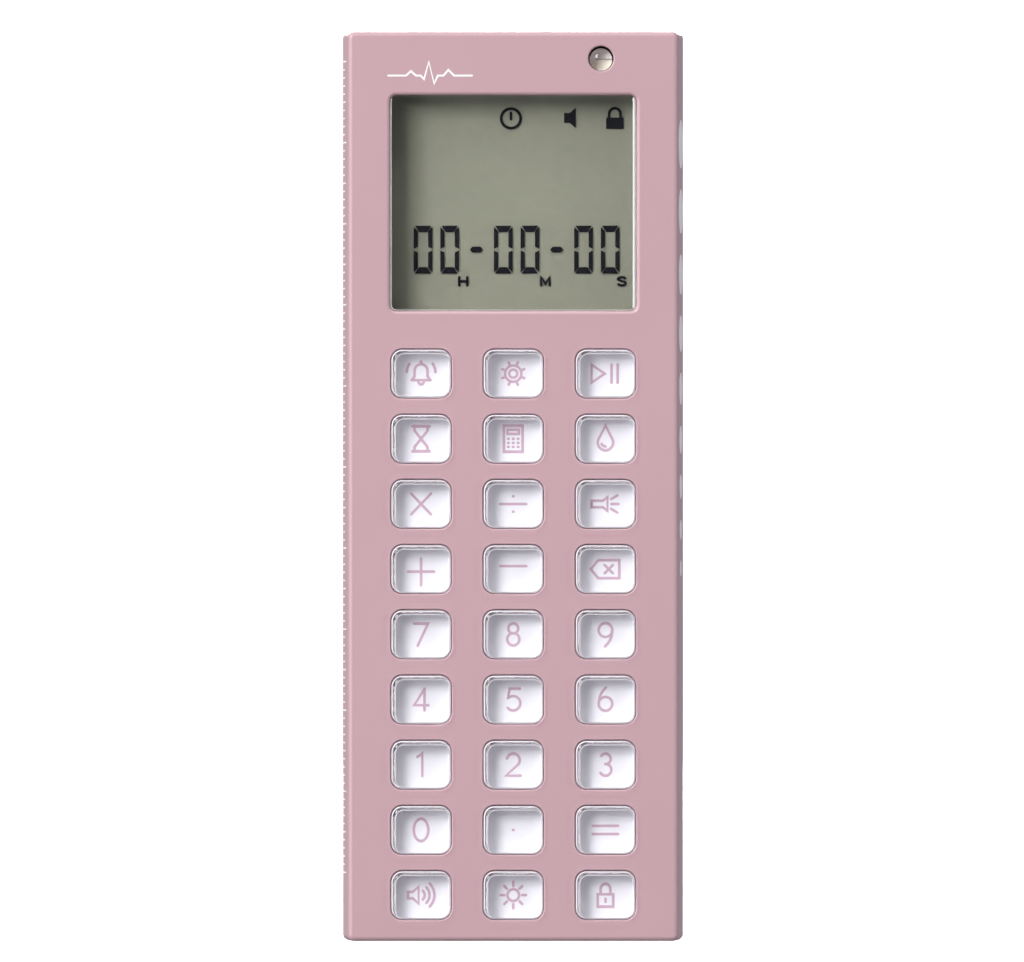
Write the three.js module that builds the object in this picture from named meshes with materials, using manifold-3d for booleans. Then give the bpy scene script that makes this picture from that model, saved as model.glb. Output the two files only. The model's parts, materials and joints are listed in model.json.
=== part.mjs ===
// Nurse's pocket timer and calculator: a slim two-shell handset with 27 clear keys, an LCD,
// a torch LED, a piezo buzzer, a vibration motor and one coin cell behind a bayonet cap.
// Millimetres. +X is to the right of the display, +Y goes from the front to the back, and
// +Z goes up the handset. The origin is at the middle of the bottom end.
import * as THREE from 'three';
import { mergeVertices } from 'three/addons/utils/BufferGeometryUtils.js';
import Module from 'manifold-3d';

const wasm = await Module();
wasm.setup();

// ---- Driving dimensions -------------------------------------------------------------
const BODY = { width: 42, height: 112, depth: 11, corner: 1.3 };
const MID_Z = BODY.height / 2;
const KEY_PROUD = 0.8;
const FRONT_Y = (KEY_PROUD - BODY.depth) / 2;

// Depths are measured backwards from the flat front face.
const FRONT_PLATE = 1.5;
const BACK_PLATE = 9.9;
const PART_LINE = 7;
const PART_GAP = 0.1;
const FRONT_DRAFT = 0.65;
const REAR_DRAFT = 0.35;
const FRONT_ROUND = 0.6;
const REAR_ROUND = 0.9;
const WALL = 1.5;
const CAVITY = { width: BODY.width - 2 * WALL, height: BODY.height - 2 * WALL, corner: 0.8 };

const WINDOW = { width: 30.4, height: 26.6, corner: 0.8, z: 90.9, round: 0.5 };
const LENS_GAP = 0.2;
const LENS_FLANGE = 1.6;
const LENS = { top: 0.2, bevel: 0.2, step: 1.8, back: 2.4 };

const KEY = { width: 7.4, height: 6, corner: 1.4, pitchX: 11.36, pitchZ: 8.03, topZ: 69.9 };
const KEY_CROWN = { flatInset: 0.75, shoulderInset: 0.28, shoulderDrop: 0.18, sideDrop: 0.5 };
const KEY_GAP = 0.1;
const KEY_FLANGE = { out: 0.6, front: 1.6, back: 2.15 };
const STEM = { width: 3, height: 2.4, tip: 3.7 };
const WELL = { width: 3.6, height: 3 };
const MAT = { width: 31.4, bottom: 1.9, top: 73.9, front: 3.1, back: 4.4 };

const LCD = { width: 35, bottom: 75.2, top: 105.2, front: 2.5, seam: 3.4, back: 3.8, ledge: 2.4 };
const LCD_FRAME = { width: 38, bottom: 74.4, top: 106.2, back: 4.4, gap: 0.15 };
const LIGHT_GUIDE = { width: 31, bottom: 78, top: 104.4, front: 3.9, back: 4.4 };
const GUIDE_LED = { left: 15.7, right: 17.4, z: 91.2, height: 3 };
const ZEBRA = { width: 30, bottom: 75.4, top: 77.2, front: 3.45, back: 4.4 };
const GASKET = { reach: 1.3, width: 1, corner: 1.2, clear: 0.05 };
const BOARD = { width: 38.4, height: 108.4, front: 4.5, back: 5.5 };

const TORCH = { x: 10.8, z: 108.7, hole: 1.55, dome: 1.35, tip: 0.4, rim: 1.75, seat: 4.3 };
const TORCH_LEG = { spacing: 2.54, size: 0.5, end: 6.2, hole: 0.45 };
const CHIP = { x: -8, z: 74, radius: 4.2, shoulder: 3.7, crown: 2.2, height: 0.95 };
const CRYSTAL = { x: 8, z: 72, depth: 6.65, radius: 1, length: 6 };

const POST = { x: 17.6, low: 3.6, high: 108.4, radius: 1.6, top: 6.9, pilot: 0.8, bottom: 3.4 };
const SCREW = {
  head: 1.45, headFront: 9.3, headBack: 10.2, shank: 0.7, tip: 3.8, crossLong: 0.9, crossNarrow: 0.2,
};
const COUNTERBORE = { radius: 1.75, floor: 9.2, hole: 0.95, tube: 2.1 };

const CELL = { z: 30, radius: 10, front: 6.5, back: 9.7, capRadius: 8.7, canFront: 7.1 };
const BAY = { inner: 10.3, outer: 11.3, floorFront: 5.7, floorBack: 6.0, ledge: 9.75 };
const COLLAR = { outer: 14.3, front: 8.9, groove: 13.3, lipFront: 10.5, lip: 12 };
const SEAL = { inner: 10.5, outer: 11.6, front: 9.4, back: 9.85, seat: 9.35, seatRadius: 11.75 };
const CONTACT = { leafWidth: 6, leafTop: 6, leafBottom: -7.6, tabWidth: 3.2, footReach: 2.6 };
const TAIL = { width: 2, height: 1.6, room: 8 };
const TAB = { thickness: 0.3, back: 8.6, slotHeight: 4 };
const CAP = { radius: 11.85, front: 9.9, bevel: 0.2, slotLength: 12, slotWidth: 1.8, slotFloor: 10.5 };
const LUG = { count: 3, reach: 12.8, width: 3.6, back: 10.35, clear: 0.4, turn: -45 };

const MOTOR = { z: 58, depth: 7.75, radius: 1.75, left: -5, right: 3, bore: 0.5, boreLeft: 1.5 };
const BOOT = { inner: 1.8, outer: 2.1, left: -4, right: 1 };
const WEIGHT = { radius: 1.9, hub: 0.8, shaft: 0.35, left: 3.5, right: 7.1, shaftLeft: 1.8 };
const CRADLE = { xs: [-3, 0], thickness: 0.8, height: 6.4, front: 8.2, clear: 2.22 };

const BUZZER = { z: 91, brass: 9.4, ceramic: 6.5, wall: 10.4, pocket: 9.6, throat: 8.8 };
const BUZZER_DEPTH = { wall: 8.9, ledge: 9.5, brass: [9.15, 9.42], ceramic: [8.85, 9.08] };
const SOUND = { radius: 0.6, ring: 3.2, count: 6 };

const LEAD = { radius: 0.3, sides: 8, steps: 8 };
// Points as [x, depth, z], from the motor or the buzzer to the board.
const LEAD_ROUTES = {
  motor_lead_1: [[-5.5, 7.1, 58.7], [-7.2, 7.0, 59.4], [-8.6, 6.6, 61], [-9, 5.95, 63]],
  motor_lead_2: [[-5.5, 8.3, 57.6], [-7.8, 8.1, 57.8], [-10.2, 7.2, 59.4], [-11, 5.95, 62]],
  buzzer_lead_1: [[4, 8.5, 87], [6.5, 7.9, 85.4], [8.6, 6.8, 83.2], [9, 5.95, 80.5]],
  buzzer_lead_2: [[-8, 8.7, 89], [-9.4, 8, 86.5], [-10.4, 6.9, 84], [-11, 5.95, 81.5]],
};
const ROUND_SIDES = 48;
const COARSE_SIDES = 24;
const SMALL_SIDES = 12;

// ---- Shape helpers ------------------------------------------------------------------
const degrees = Math.PI / 180;

// A rounded rectangle in the front plane; corners take 2 * segments steps when extruded.
function roundedRect({ width, height, corner, x = 0, z = 0 }) {
  const w = width / 2 - corner;
  const h = height / 2 - corner;
  const shape = new THREE.Shape();
  [[w, h], [-w, h], [-w, -h], [w, -h]].forEach(([cx, cz], quarter) => {
    const start = quarter * 90 * degrees;
    shape.absarc(x + cx, z + cz, corner, start, start + 90 * degrees);
  });
  return shape;
}

// The same as roundedRect, between two heights.
function panel({ width, bottom, top }, corner) {
  return roundedRect({ width, height: top - bottom, corner, z: (top + bottom) / 2 });
}

// A flat plate with the given outline, from one depth to another.
function slab(shape, front, back, curveSegments = 1) {
  const depth = back - front;
  const geometry = new THREE.ExtrudeGeometry(shape, { depth, bevelEnabled: false, curveSegments });
  return geometry.rotateX(90 * degrees).translate(0, FRONT_Y + back, 0);
}

// A rounded rectangle carried through rows of [depth, inset in x, inset in z], front first.
function loft(outline, rows, curveSegments = 1) {
  const { width, height, corner, x = 0, z = 0 } = outline;
  const steps = rows.length - 1;
  const options = { depth: steps, steps, bevelEnabled: false, curveSegments };
  const geometry = new THREE.ExtrudeGeometry(roundedRect(outline), options);
  const points = geometry.attributes.position;
  for (let i = 0; i < points.count; i += 1) {
    const px = points.getX(i) - x;
    const pz = points.getY(i) - z;
    const [depth, insetX, insetZ = insetX] = rows[steps - Math.round(points.getZ(i))];
    const outX = (px - THREE.MathUtils.clamp(px, corner - width / 2, width / 2 - corner)) / corner;
    const outZ = (pz - THREE.MathUtils.clamp(pz, corner - height / 2, height / 2 - corner)) / corner;
    points.setXYZ(i, x + px - outX * insetX, FRONT_Y + depth, z + pz - outZ * insetZ);
  }
  return geometry;
}

// A round disc or bar whose axis runs front to back.
function disc(radius, front, back, x = 0, z = 0, sides = ROUND_SIDES) {
  const geometry = new THREE.CylinderGeometry(radius, radius, back - front, sides);
  return geometry.translate(x, FRONT_Y + (front + back) / 2, z);
}

// A round bar whose axis runs across the handset at the motor's centre line.
function axle(radius, left, right, sides = 24) {
  const geometry = new THREE.CylinderGeometry(radius, radius, right - left, sides);
  return geometry.rotateZ(90 * degrees).translate((left + right) / 2, FRONT_Y + MOTOR.depth, MOTOR.z);
}

// A box between two corners given as [x, depth, z].
function block([x0, d0, z0], [x1, d1, z1]) {
  const geometry = new THREE.BoxGeometry(x1 - x0, d1 - d0, z1 - z0);
  return geometry.translate((x0 + x1) / 2, FRONT_Y + (d0 + d1) / 2, (z0 + z1) / 2);
}

// A solid of revolution about a front-to-back axis, from [radius, depth] points, front first.
function turned(profile, x, z, sides = ROUND_SIDES) {
  const points = profile.map(([radius, depth]) => new THREE.Vector2(radius, depth));
  return new THREE.LatheGeometry(points, sides).translate(x, FRONT_Y, z);
}

// An insulated lead through points given as [x, depth, z].
function lead(route) {
  const points = route.map(([x, depth, z]) => new THREE.Vector3(x, FRONT_Y + depth, z));
  const section = new THREE.Shape();
  for (let side = 0; side < LEAD.sides; side += 1) {
    const angle = (side / LEAD.sides) * 360 * degrees;
    const corner = [LEAD.radius * Math.cos(angle), LEAD.radius * Math.sin(angle)];
    if (side === 0) section.moveTo(...corner);
    else section.lineTo(...corner);
  }
  const extrudePath = new THREE.CatmullRomCurve3(points);
  return new THREE.ExtrudeGeometry(section, { steps: LEAD.steps, extrudePath, bevelEnabled: false });
}

// ---- Joining and cutting ------------------------------------------------------------
function toSolid(geometry) {
  const bare = geometry.clone();
  bare.deleteAttribute('normal');
  bare.deleteAttribute('uv');
  const merged = mergeVertices(bare, 1e-4);
  return new wasm.Manifold(new wasm.Mesh({
    numProp: 3,
    vertProperties: merged.attributes.position.array,
    triVerts: new Uint32Array(merged.index.array),
  }));
}

function shaped(base, { add = [], cut = [] }) {
  let body = toSolid(base);
  for (const piece of add) body = body.add(toSolid(piece));
  for (const piece of cut) body = body.subtract(toSolid(piece));
  const mesh = body.getMesh();
  const geometry = new THREE.BufferGeometry();
  geometry.setAttribute('position', new THREE.BufferAttribute(mesh.vertProperties, 3));
  geometry.setIndex(new THREE.BufferAttribute(mesh.triVerts, 1));
  return geometry;
}

// ---- Places of repeated features ----------------------------------------------------
const posts = [-POST.x, POST.x].flatMap((x) => [POST.low, POST.high].map((z) => ({ x, z })));

const KEY_NAMES = [
  ['key_alarm', 'key_set', 'key_start_stop'],
  ['key_timer', 'key_calculator', 'key_drip'],
  ['key_multiply', 'key_divide', 'key_torch'],
  ['key_plus', 'key_minus', 'key_clear'],
  ['key_7', 'key_8', 'key_9'],
  ['key_4', 'key_5', 'key_6'],
  ['key_1', 'key_2', 'key_3'],
  ['key_0', 'key_point', 'key_equals'],
  ['key_volume', 'key_backlight', 'key_lock'],
];
const keys = KEY_NAMES.flatMap((names, row) => names.map((name, column) => ({
  name,
  x: (column - 1) * KEY.pitchX,
  z: KEY.topZ - row * KEY.pitchZ,
})));

// Radial blocks on the cap's bayonet circle, turned by a number of degrees.
function bayonetBlocks(width, reach, front, back, turn) {
  return Array.from({ length: LUG.count }, (_, i) => {
    const angle = (90 + turn + (360 / LUG.count) * i) * degrees;
    const piece = block([COLLAR.lip - 1.5, front, -width / 2], [reach, back, width / 2]);
    return piece.rotateY(-angle).translate(0, 0, CELL.z);
  });
}

// A block at a screw post, from `inward` on its inner side to `outward` towards the corner.
function cornerBlock({ x, z }, inward, outward, front, back) {
  const side = Math.sign(x);
  const end = Math.sign(z - MID_Z);
  const xs = [x - side * inward, x + side * outward].sort((a, b) => a - b);
  const zs = [z - end * inward, z + end * outward].sort((a, b) => a - b);
  return block([xs[0], front, zs[0]], [xs[1], back, zs[1]]);
}

// ---- Shells -------------------------------------------------------------------------
// A quarter round at an outer edge: pairs of [distance along the depth, inset], edge first.
function quarterRound(radius, steps = 3) {
  return Array.from({ length: steps + 1 }, (_, i) => {
    const angle = (90 - (90 / steps) * i) * degrees;
    return [radius * (1 - Math.sin(angle)), radius * (1 - Math.cos(angle))];
  });
}

function frontCase() {
  const rows = quarterRound(FRONT_ROUND).map(([depth, inset]) => [depth, FRONT_DRAFT + inset, inset]);
  const shell = loft({ ...BODY, z: MID_Z }, [...rows, [PART_LINE, 0, 0]], 2);
  const hollow = slab(roundedRect({ ...CAVITY, z: MID_Z }), FRONT_PLATE, PART_LINE + 1);
  const edge = quarterRound(WINDOW.round).map(([depth, inset]) => [depth, -inset]);
  const opening = loft(WINDOW, [[-0.2, -WINDOW.round], ...edge, [FRONT_PLATE + 0.2, 0]]);
  const holeSize = { width: KEY.width + 2 * KEY_GAP, height: KEY.height + 2 * KEY_GAP };
  const holeCorner = KEY.corner + KEY_GAP;
  const holes = keys.map(({ x, z }) => (
    slab(roundedRect({ ...holeSize, corner: holeCorner, x, z }), -0.2, FRONT_PLATE + 0.2)
  ));
  const torchHole = disc(TORCH.hole, -0.2, FRONT_PLATE + 0.2, TORCH.x, TORCH.z, 24);
  const pillars = posts.map(({ x, z }) => disc(POST.radius, FRONT_PLATE - 0.3, POST.top, x, z, 16));
  const pilots = posts.map(({ x, z }) => disc(POST.pilot, POST.bottom, POST.top + 1, x, z, SMALL_SIDES));
  const hollowed = shaped(shell, { cut: [hollow] });
  return shaped(hollowed, { add: pillars, cut: [opening, ...holes, torchHole, ...pilots] });
}

// Lip that reaches inside the front case, so that the two shells register.
function registerLip() {
  const gap = 0.15;
  const thickness = 0.8;
  const ring = roundedRect({
    width: CAVITY.width - 2 * gap, height: CAVITY.height - 2 * gap, corner: CAVITY.corner, z: MID_Z,
  });
  const inner = gap + thickness;
  ring.holes.push(roundedRect({
    width: CAVITY.width - 2 * inner, height: CAVITY.height - 2 * inner, corner: 0.4, z: MID_Z,
  }));
  return slab(ring, PART_LINE - 0.8, PART_LINE + 1);
}

function batteryBay() {
  const cup = disc(BAY.outer, BAY.floorFront, BACK_PLATE + 0.1, 0, CELL.z, COARSE_SIDES);
  const collar = disc(COLLAR.outer, COLLAR.front, BACK_PLATE + 0.1, 0, CELL.z, COARSE_SIDES);
  const cut = [
    disc(BAY.inner, BAY.floorBack, SEAL.seat + 0.1, 0, CELL.z, COARSE_SIDES),
    disc(SEAL.seatRadius, SEAL.seat, BAY.ledge + 0.1, 0, CELL.z, COARSE_SIDES),
    disc(COLLAR.groove, BAY.ledge, COLLAR.lipFront, 0, CELL.z, COARSE_SIDES),
    disc(COLLAR.lip, COLLAR.lipFront - 0.1, BODY.depth + 0.2, 0, CELL.z),
    ...bayonetBlocks(
      LUG.width + 2 * LUG.clear, LUG.reach + 0.3, COLLAR.lipFront - 0.1, BODY.depth + 0.2, LUG.turn,
    ),
    block(
      [-TAIL.width / 2 - 0.3, BAY.floorFront - 0.2, CELL.z - TAIL.room],
      [TAIL.width / 2 + 0.3, BAY.floorBack + 0.2, CELL.z - TAIL.room + 2.4],
    ),
    block(
      [BAY.inner - 0.6, BAY.floorFront - 0.2, CELL.z - TAB.slotHeight / 2],
      [BAY.outer + 0.4, TAB.back + 0.2, CELL.z + TAB.slotHeight / 2],
    ),
  ];
  return { add: [cup, collar], cut };
}

function buzzerSeat() {
  const add = [disc(BUZZER.wall, BUZZER_DEPTH.wall, BACK_PLATE + 0.1, 0, BUZZER.z, COARSE_SIDES)];
  const ring = Array.from({ length: SOUND.count }, (_, i) => (i * 360 * degrees) / SOUND.count);
  const places = [[0, 0], ...ring.map((a) => [SOUND.ring * Math.cos(a), SOUND.ring * Math.sin(a)])];
  const cut = [
    disc(BUZZER.pocket, BUZZER_DEPTH.wall - 0.2, BUZZER_DEPTH.ledge, 0, BUZZER.z, COARSE_SIDES),
    disc(BUZZER.throat, BUZZER_DEPTH.ledge - 0.1, BACK_PLATE, 0, BUZZER.z, COARSE_SIDES),
    ...places.map(([x, z]) => disc(
      SOUND.radius, BACK_PLATE - 0.2, BODY.depth + 0.2, x, BUZZER.z + z, SMALL_SIDES,
    )),
  ];
  return { add, cut };
}

function rearCase() {
  const edge = quarterRound(REAR_ROUND).reverse();
  const rows = edge.map(([depth, inset]) => [BODY.depth - depth, REAR_DRAFT + inset, inset]);
  const shell = loft({ ...BODY, z: MID_Z }, [[PART_LINE + PART_GAP, 0, 0], ...rows], 2);
  const inside = { width: CAVITY.width - 0.6, height: CAVITY.height - 0.6, corner: CAVITY.corner };
  const hollow = slab(roundedRect({ ...inside, z: MID_Z }), PART_LINE - 1, BACK_PLATE);
  const { radius, floor, hole, tube } = COUNTERBORE;
  const tubes = posts.map(({ x, z }) => disc(tube, PART_LINE + 0.05, BACK_PLATE + 0.1, x, z, 16));
  const gussets = posts.map((post) => cornerBlock(post, 0, tube, PART_LINE + 0.05, BACK_PLATE + 0.1));
  const postRoom = posts.map(({ x, z }) => (
    disc(POST.radius + 0.3, PART_LINE - 1, PART_LINE + 0.05, x, z, 16)
  ));
  const bores = posts.flatMap(({ x, z }) => [
    disc(hole, PART_LINE - 1, floor + 0.1, x, z, SMALL_SIDES),
    disc(radius, floor, BODY.depth + 0.2, x, z, 16),
  ]);
  const ribs = CRADLE.xs.map((x) => block(
    [x - CRADLE.thickness / 2, CRADLE.front, MOTOR.z - CRADLE.height / 2],
    [x + CRADLE.thickness / 2, BACK_PLATE + 0.1, MOTOR.z + CRADLE.height / 2],
  ));
  const trough = axle(CRADLE.clear, BOOT.left - 2, BOOT.right + 2);
  const bay = batteryBay();
  const seat = buzzerSeat();
  const hollowed = shaped(shell, { cut: [hollow] });
  return shaped(hollowed, {
    add: [registerLip(), ...tubes, ...gussets, ...ribs, ...bay.add, ...seat.add],
    cut: [...postRoom, ...bores, trough, ...bay.cut, ...seat.cut],
  });
}

// ---- Keys and keypad ----------------------------------------------------------------
function keyCap() {
  const { out, front, back } = KEY_FLANGE;
  const { flatInset, shoulderInset, shoulderDrop, sideDrop } = KEY_CROWN;
  const cap = loft(KEY, [
    [-KEY_PROUD, flatInset], [-KEY_PROUD + shoulderDrop, shoulderInset],
    [-KEY_PROUD + sideDrop, 0], [front, 0], [front, -out], [back, -out],
  ]);
  const stem = block(
    [-STEM.width / 2, back - 0.2, -STEM.height / 2],
    [STEM.width / 2, STEM.tip, STEM.height / 2],
  );
  return shaped(cap, { add: [stem] });
}

function keypadMat() {
  const sheet = slab(panel(MAT, 1), MAT.front, MAT.back);
  const wells = keys.map(({ x, z }) => block(
    [x - WELL.width / 2, MAT.front - 0.2, z - WELL.height / 2],
    [x + WELL.width / 2, MAT.back + 0.2, z + WELL.height / 2],
  ));
  return shaped(sheet, { cut: wells });
}

// ---- Display ------------------------------------------------------------------------
function windowLens() {
  const outline = {
    ...WINDOW, width: WINDOW.width - 2 * LENS_GAP, height: WINDOW.height - 2 * LENS_GAP, corner: 0.7,
  };
  return loft(outline, [
    [LENS.top, LENS.bevel], [LENS.top + LENS.bevel, 0], [LENS.step, 0],
    [LENS.step, -LENS_FLANGE], [LENS.back, -LENS_FLANGE],
  ]);
}

function windowGasket() {
  const { reach, width, corner, clear } = GASKET;
  const around = (out) => ({
    ...WINDOW, width: WINDOW.width + 2 * out, height: WINDOW.height + 2 * out, corner,
  });
  const ring = roundedRect(around(reach));
  ring.holes.push(roundedRect(around(reach - width)));
  return slab(ring, FRONT_PLATE + clear, LENS.step - clear);
}

function lcdGlass() {
  const frontPane = slab(panel(LCD, 0.4), LCD.front, LCD.seam);
  const rearPane = slab(panel({ ...LCD, bottom: LCD.bottom + LCD.ledge }, 0.4), LCD.seam - 0.1, LCD.back);
  return shaped(frontPane, { add: [rearPane] });
}

function lcdFrame() {
  const ring = panel(LCD_FRAME, 0.8);
  const { gap } = LCD_FRAME;
  const inside = { width: LCD.width + 2 * gap, bottom: LCD.bottom - gap, top: LCD.top + gap };
  ring.holes.push(panel(inside, 0.4));
  return slab(ring, LCD.front, LCD_FRAME.back);
}

function lightGuide() {
  return slab(panel(LIGHT_GUIDE, 0.5), LIGHT_GUIDE.front, LIGHT_GUIDE.back);
}

function guideLed() {
  const { left, right, z, height } = GUIDE_LED;
  return block(
    [left, LIGHT_GUIDE.front, z - height / 2], [right, LIGHT_GUIDE.back, z + height / 2],
  );
}

function zebraStrip() {
  const { width, bottom, top, front, back } = ZEBRA;
  return block([-width / 2, front, bottom], [width / 2, back, top]);
}

// ---- Circuit board and what it carries ----------------------------------------------
function mainBoard() {
  const outline = roundedRect({ ...BOARD, corner: 0.8, z: MID_Z });
  const notches = posts.map((post) => (
    cornerBlock(post, POST.radius + 0.3, WALL * 2, BOARD.front - 1, BOARD.back + 1)
  ));
  const legHoles = [-0.5, 0.5].map((side) => disc(
    TORCH_LEG.hole, BOARD.front - 1, BOARD.back + 1, TORCH.x + side * TORCH_LEG.spacing, TORCH.z, 8,
  ));
  return shaped(slab(outline, BOARD.front, BOARD.back), { cut: [...notches, ...legHoles] });
}

function torchLed() {
  const { dome, tip, rim, seat } = TORCH;
  const arc = [0, 22.5, 45, 67.5, 90].map((angle) => [
    dome * Math.sin(angle * degrees), tip + dome * (1 - Math.cos(angle * degrees)),
  ]);
  const profile = [...arc, [dome, seat - 0.7], [rim, seat - 0.7], [rim, seat], [0, seat]];
  const legs = [-0.5, 0.5].map((side) => {
    const x = TORCH.x + side * TORCH_LEG.spacing;
    const half = TORCH_LEG.size / 2;
    return block([x - half, seat - 0.2, TORCH.z - half], [x + half, TORCH_LEG.end, TORCH.z + half]);
  });
  return shaped(turned(profile, TORCH.x, TORCH.z, 20), { add: legs });
}

// A blob of epoxy over the bare chip.
function controllerChip() {
  const rest = BOARD.back + 0.05;
  const { x, z, radius, shoulder, crown, height } = CHIP;
  return turned([
    [0, rest], [radius, rest], [shoulder, rest + height * 0.53], [crown, rest + height * 0.9],
    [0, rest + height],
  ], x, z, 20);
}

function clockCrystal() {
  const { x, z, depth, radius, length } = CRYSTAL;
  const can = new THREE.CylinderGeometry(radius, radius, length, 14);
  return can.rotateX(90 * degrees).translate(x, FRONT_Y + depth, z);
}

// ---- Power --------------------------------------------------------------------------
function coinCell() {
  const { radius, capRadius, front, canFront, back } = CELL;
  return turned([
    [0, front], [capRadius, front], [capRadius, canFront], [radius - 0.3, canFront],
    [radius, canFront + 0.3], [radius, back - 0.3], [radius - 0.3, back], [0, back],
  ], 0, CELL.z, 32);
}

// A flat leaf under the cell, with a tail down to the board.
function negativeContact() {
  const half = CONTACT.leafWidth / 2;
  const low = CELL.z + CONTACT.leafBottom;
  const leaf = block(
    [-half, BAY.floorBack + 0.1, low], [half, CELL.front - 0.15, CELL.z + CONTACT.leafTop],
  );
  const tail = block(
    [-TAIL.width / 2, BOARD.back + 0.1, low], [TAIL.width / 2, CELL.front - 0.2, low + TAIL.height],
  );
  return shaped(leaf, { add: [tail] });
}

// A tab beside the cell's can, with a foot on the board.
function positiveContact() {
  const inner = CELL.radius + 0.1;
  const half = CONTACT.tabWidth / 2;
  const onBoard = BOARD.back + 0.1;
  const tab = block([inner, onBoard, CELL.z - half], [inner + TAB.thickness, TAB.back, CELL.z + half]);
  const foot = block(
    [inner, onBoard, CELL.z - half * 0.75],
    [inner + CONTACT.footReach, onBoard + 0.25, CELL.z + half * 0.75],
  );
  return shaped(tab, { add: [foot] });
}

function batteryCap() {
  const { radius, front, bevel, slotLength, slotWidth, slotFloor } = CAP;
  const plate = turned([
    [0, front], [radius, front], [radius, BODY.depth - bevel], [radius - bevel, BODY.depth], [0, BODY.depth],
  ], 0, CELL.z);
  const lugs = bayonetBlocks(LUG.width, LUG.reach, front, LUG.back, 0);
  const slot = block(
    [-slotLength / 2, slotFloor, CELL.z - slotWidth / 2],
    [slotLength / 2, BODY.depth + 0.2, CELL.z + slotWidth / 2],
  );
  return shaped(plate, { add: lugs, cut: [slot] });
}

function batterySeal() {
  return shaped(disc(SEAL.outer, SEAL.front, SEAL.back, 0, CELL.z, COARSE_SIDES), {
    cut: [disc(SEAL.inner, SEAL.front - 0.2, SEAL.back + 0.2, 0, CELL.z, COARSE_SIDES)],
  });
}

// ---- Vibration motor and buzzer -----------------------------------------------------
function vibrationMotor() {
  const can = axle(MOTOR.radius, MOTOR.left, MOTOR.right);
  return shaped(can, { cut: [axle(MOTOR.bore, MOTOR.boreLeft, MOTOR.right + 0.5, SMALL_SIDES)] });
}

function motorBoot() {
  const sleeve = axle(BOOT.outer, BOOT.left, BOOT.right);
  return shaped(sleeve, { cut: [axle(BOOT.inner, BOOT.left - 0.5, BOOT.right + 0.5)] });
}

// The weight's heavy half hangs below the shaft at rest.
function motorWeight() {
  const upperHalf = block(
    [WEIGHT.left - 1, MOTOR.depth - 3, MOTOR.z + 0.2], [WEIGHT.right + 1, MOTOR.depth + 3, MOTOR.z + 3],
  );
  const segment = shaped(axle(WEIGHT.radius, WEIGHT.left, WEIGHT.right), { cut: [upperHalf] });
  const hub = axle(WEIGHT.hub, WEIGHT.left, WEIGHT.right, SMALL_SIDES);
  const shaft = axle(WEIGHT.shaft, WEIGHT.shaftLeft, WEIGHT.right + 0.3, SMALL_SIDES);
  return shaped(segment, { add: [hub, shaft] });
}

function buzzerPlate(radius, [front, back]) {
  return disc(radius, front, back, 0, BUZZER.z, COARSE_SIDES);
}

// ---- Fasteners ----------------------------------------------------------------------
function caseScrew() {
  const { head, headFront, headBack, shank, tip, crossLong, crossNarrow } = SCREW;
  const blank = turned([
    [0, tip], [shank * 0.5, tip], [shank, tip + 0.8], [shank, headFront], [head, headFront],
    [head, headBack - 0.25], [head - 0.3, headBack], [0, headBack],
  ], 0, 0, SMALL_SIDES);
  const cross = [[crossLong, crossNarrow], [crossNarrow, crossLong]].map(([x, z]) => (
    block([-x, headBack - 0.45, -z], [x, headBack + 0.2, z])
  ));
  return shaped(blank, { cut: cross });
}

// ---- Assembly -----------------------------------------------------------------------
const finish = (color, roughness, metalness = 0, opacity = 1) => new THREE.MeshStandardMaterial({
  color, roughness, metalness, opacity, transparent: opacity < 1,
});

function part(name, geometry, material, x = 0, z = 0) {
  const mesh = new THREE.Mesh(geometry, material);
  mesh.name = name;
  mesh.position.set(x, 0, z);
  return mesh;
}

function assembly(...parts) {
  const group = new THREE.Group();
  group.add(...parts);
  return group;
}

const shells = assembly(
  part('front_case', frontCase(), finish(0xcba6af, 0.42)),
  part('rear_case', rearCase(), finish(0xc8a2ab, 0.45)),
);
const screwShape = caseScrew();
posts.forEach(({ x, z }, i) => (
  shells.add(part(`case_screw_${i + 1}`, screwShape, finish(0xb9bcc0, 0.3, 1), x, z))
));

const capShape = keyCap();
const keypad = assembly(part('keypad_mat', keypadMat(), finish(0xe4e2e6, 0.8)));
keys.forEach(({ name, x, z }) => keypad.add(part(name, capShape, finish(0xe9e6f0, 0.08, 0, 0.6), x, z)));

const display = assembly(
  part('window_lens', windowLens(), finish(0xf4f6f6, 0.05, 0, 0.3)),
  part('window_gasket', windowGasket(), finish(0x202226, 0.8)),
  part('lcd_glass', lcdGlass(), finish(0x9a9d8c, 0.15)),
  part('lcd_frame', lcdFrame(), finish(0xdcdcd8, 0.6)),
  part('backlight_panel', lightGuide(), finish(0xeef2ee, 0.5)),
  part('backlight_led', guideLed(), finish(0xf3eecb, 0.4)),
  part('zebra_strip', zebraStrip(), finish(0x6f7479, 0.7)),
);

const electronics = assembly(
  part('main_board', mainBoard(), finish(0x1f6b45, 0.5)),
  part('controller_chip', controllerChip(), finish(0x141414, 0.35)),
  part('clock_crystal', clockCrystal(), finish(0xc9ccd0, 0.25, 1)),
  part('torch_led', torchLed(), finish(0xe8ece8, 0.05, 0, 0.6)),
);

const power = assembly(
  part('coin_cell', coinCell(), finish(0xc6c8ca, 0.25, 1)),
  part('positive_contact', positiveContact(), finish(0xd8c37a, 0.3, 1)),
  part('negative_contact', negativeContact(), finish(0xd8c37a, 0.3, 1)),
  part('battery_cap', batteryCap(), finish(0xc8a2ab, 0.45)),
  part('battery_seal', batterySeal(), finish(0x2a2a2c, 0.8)),
);

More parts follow.
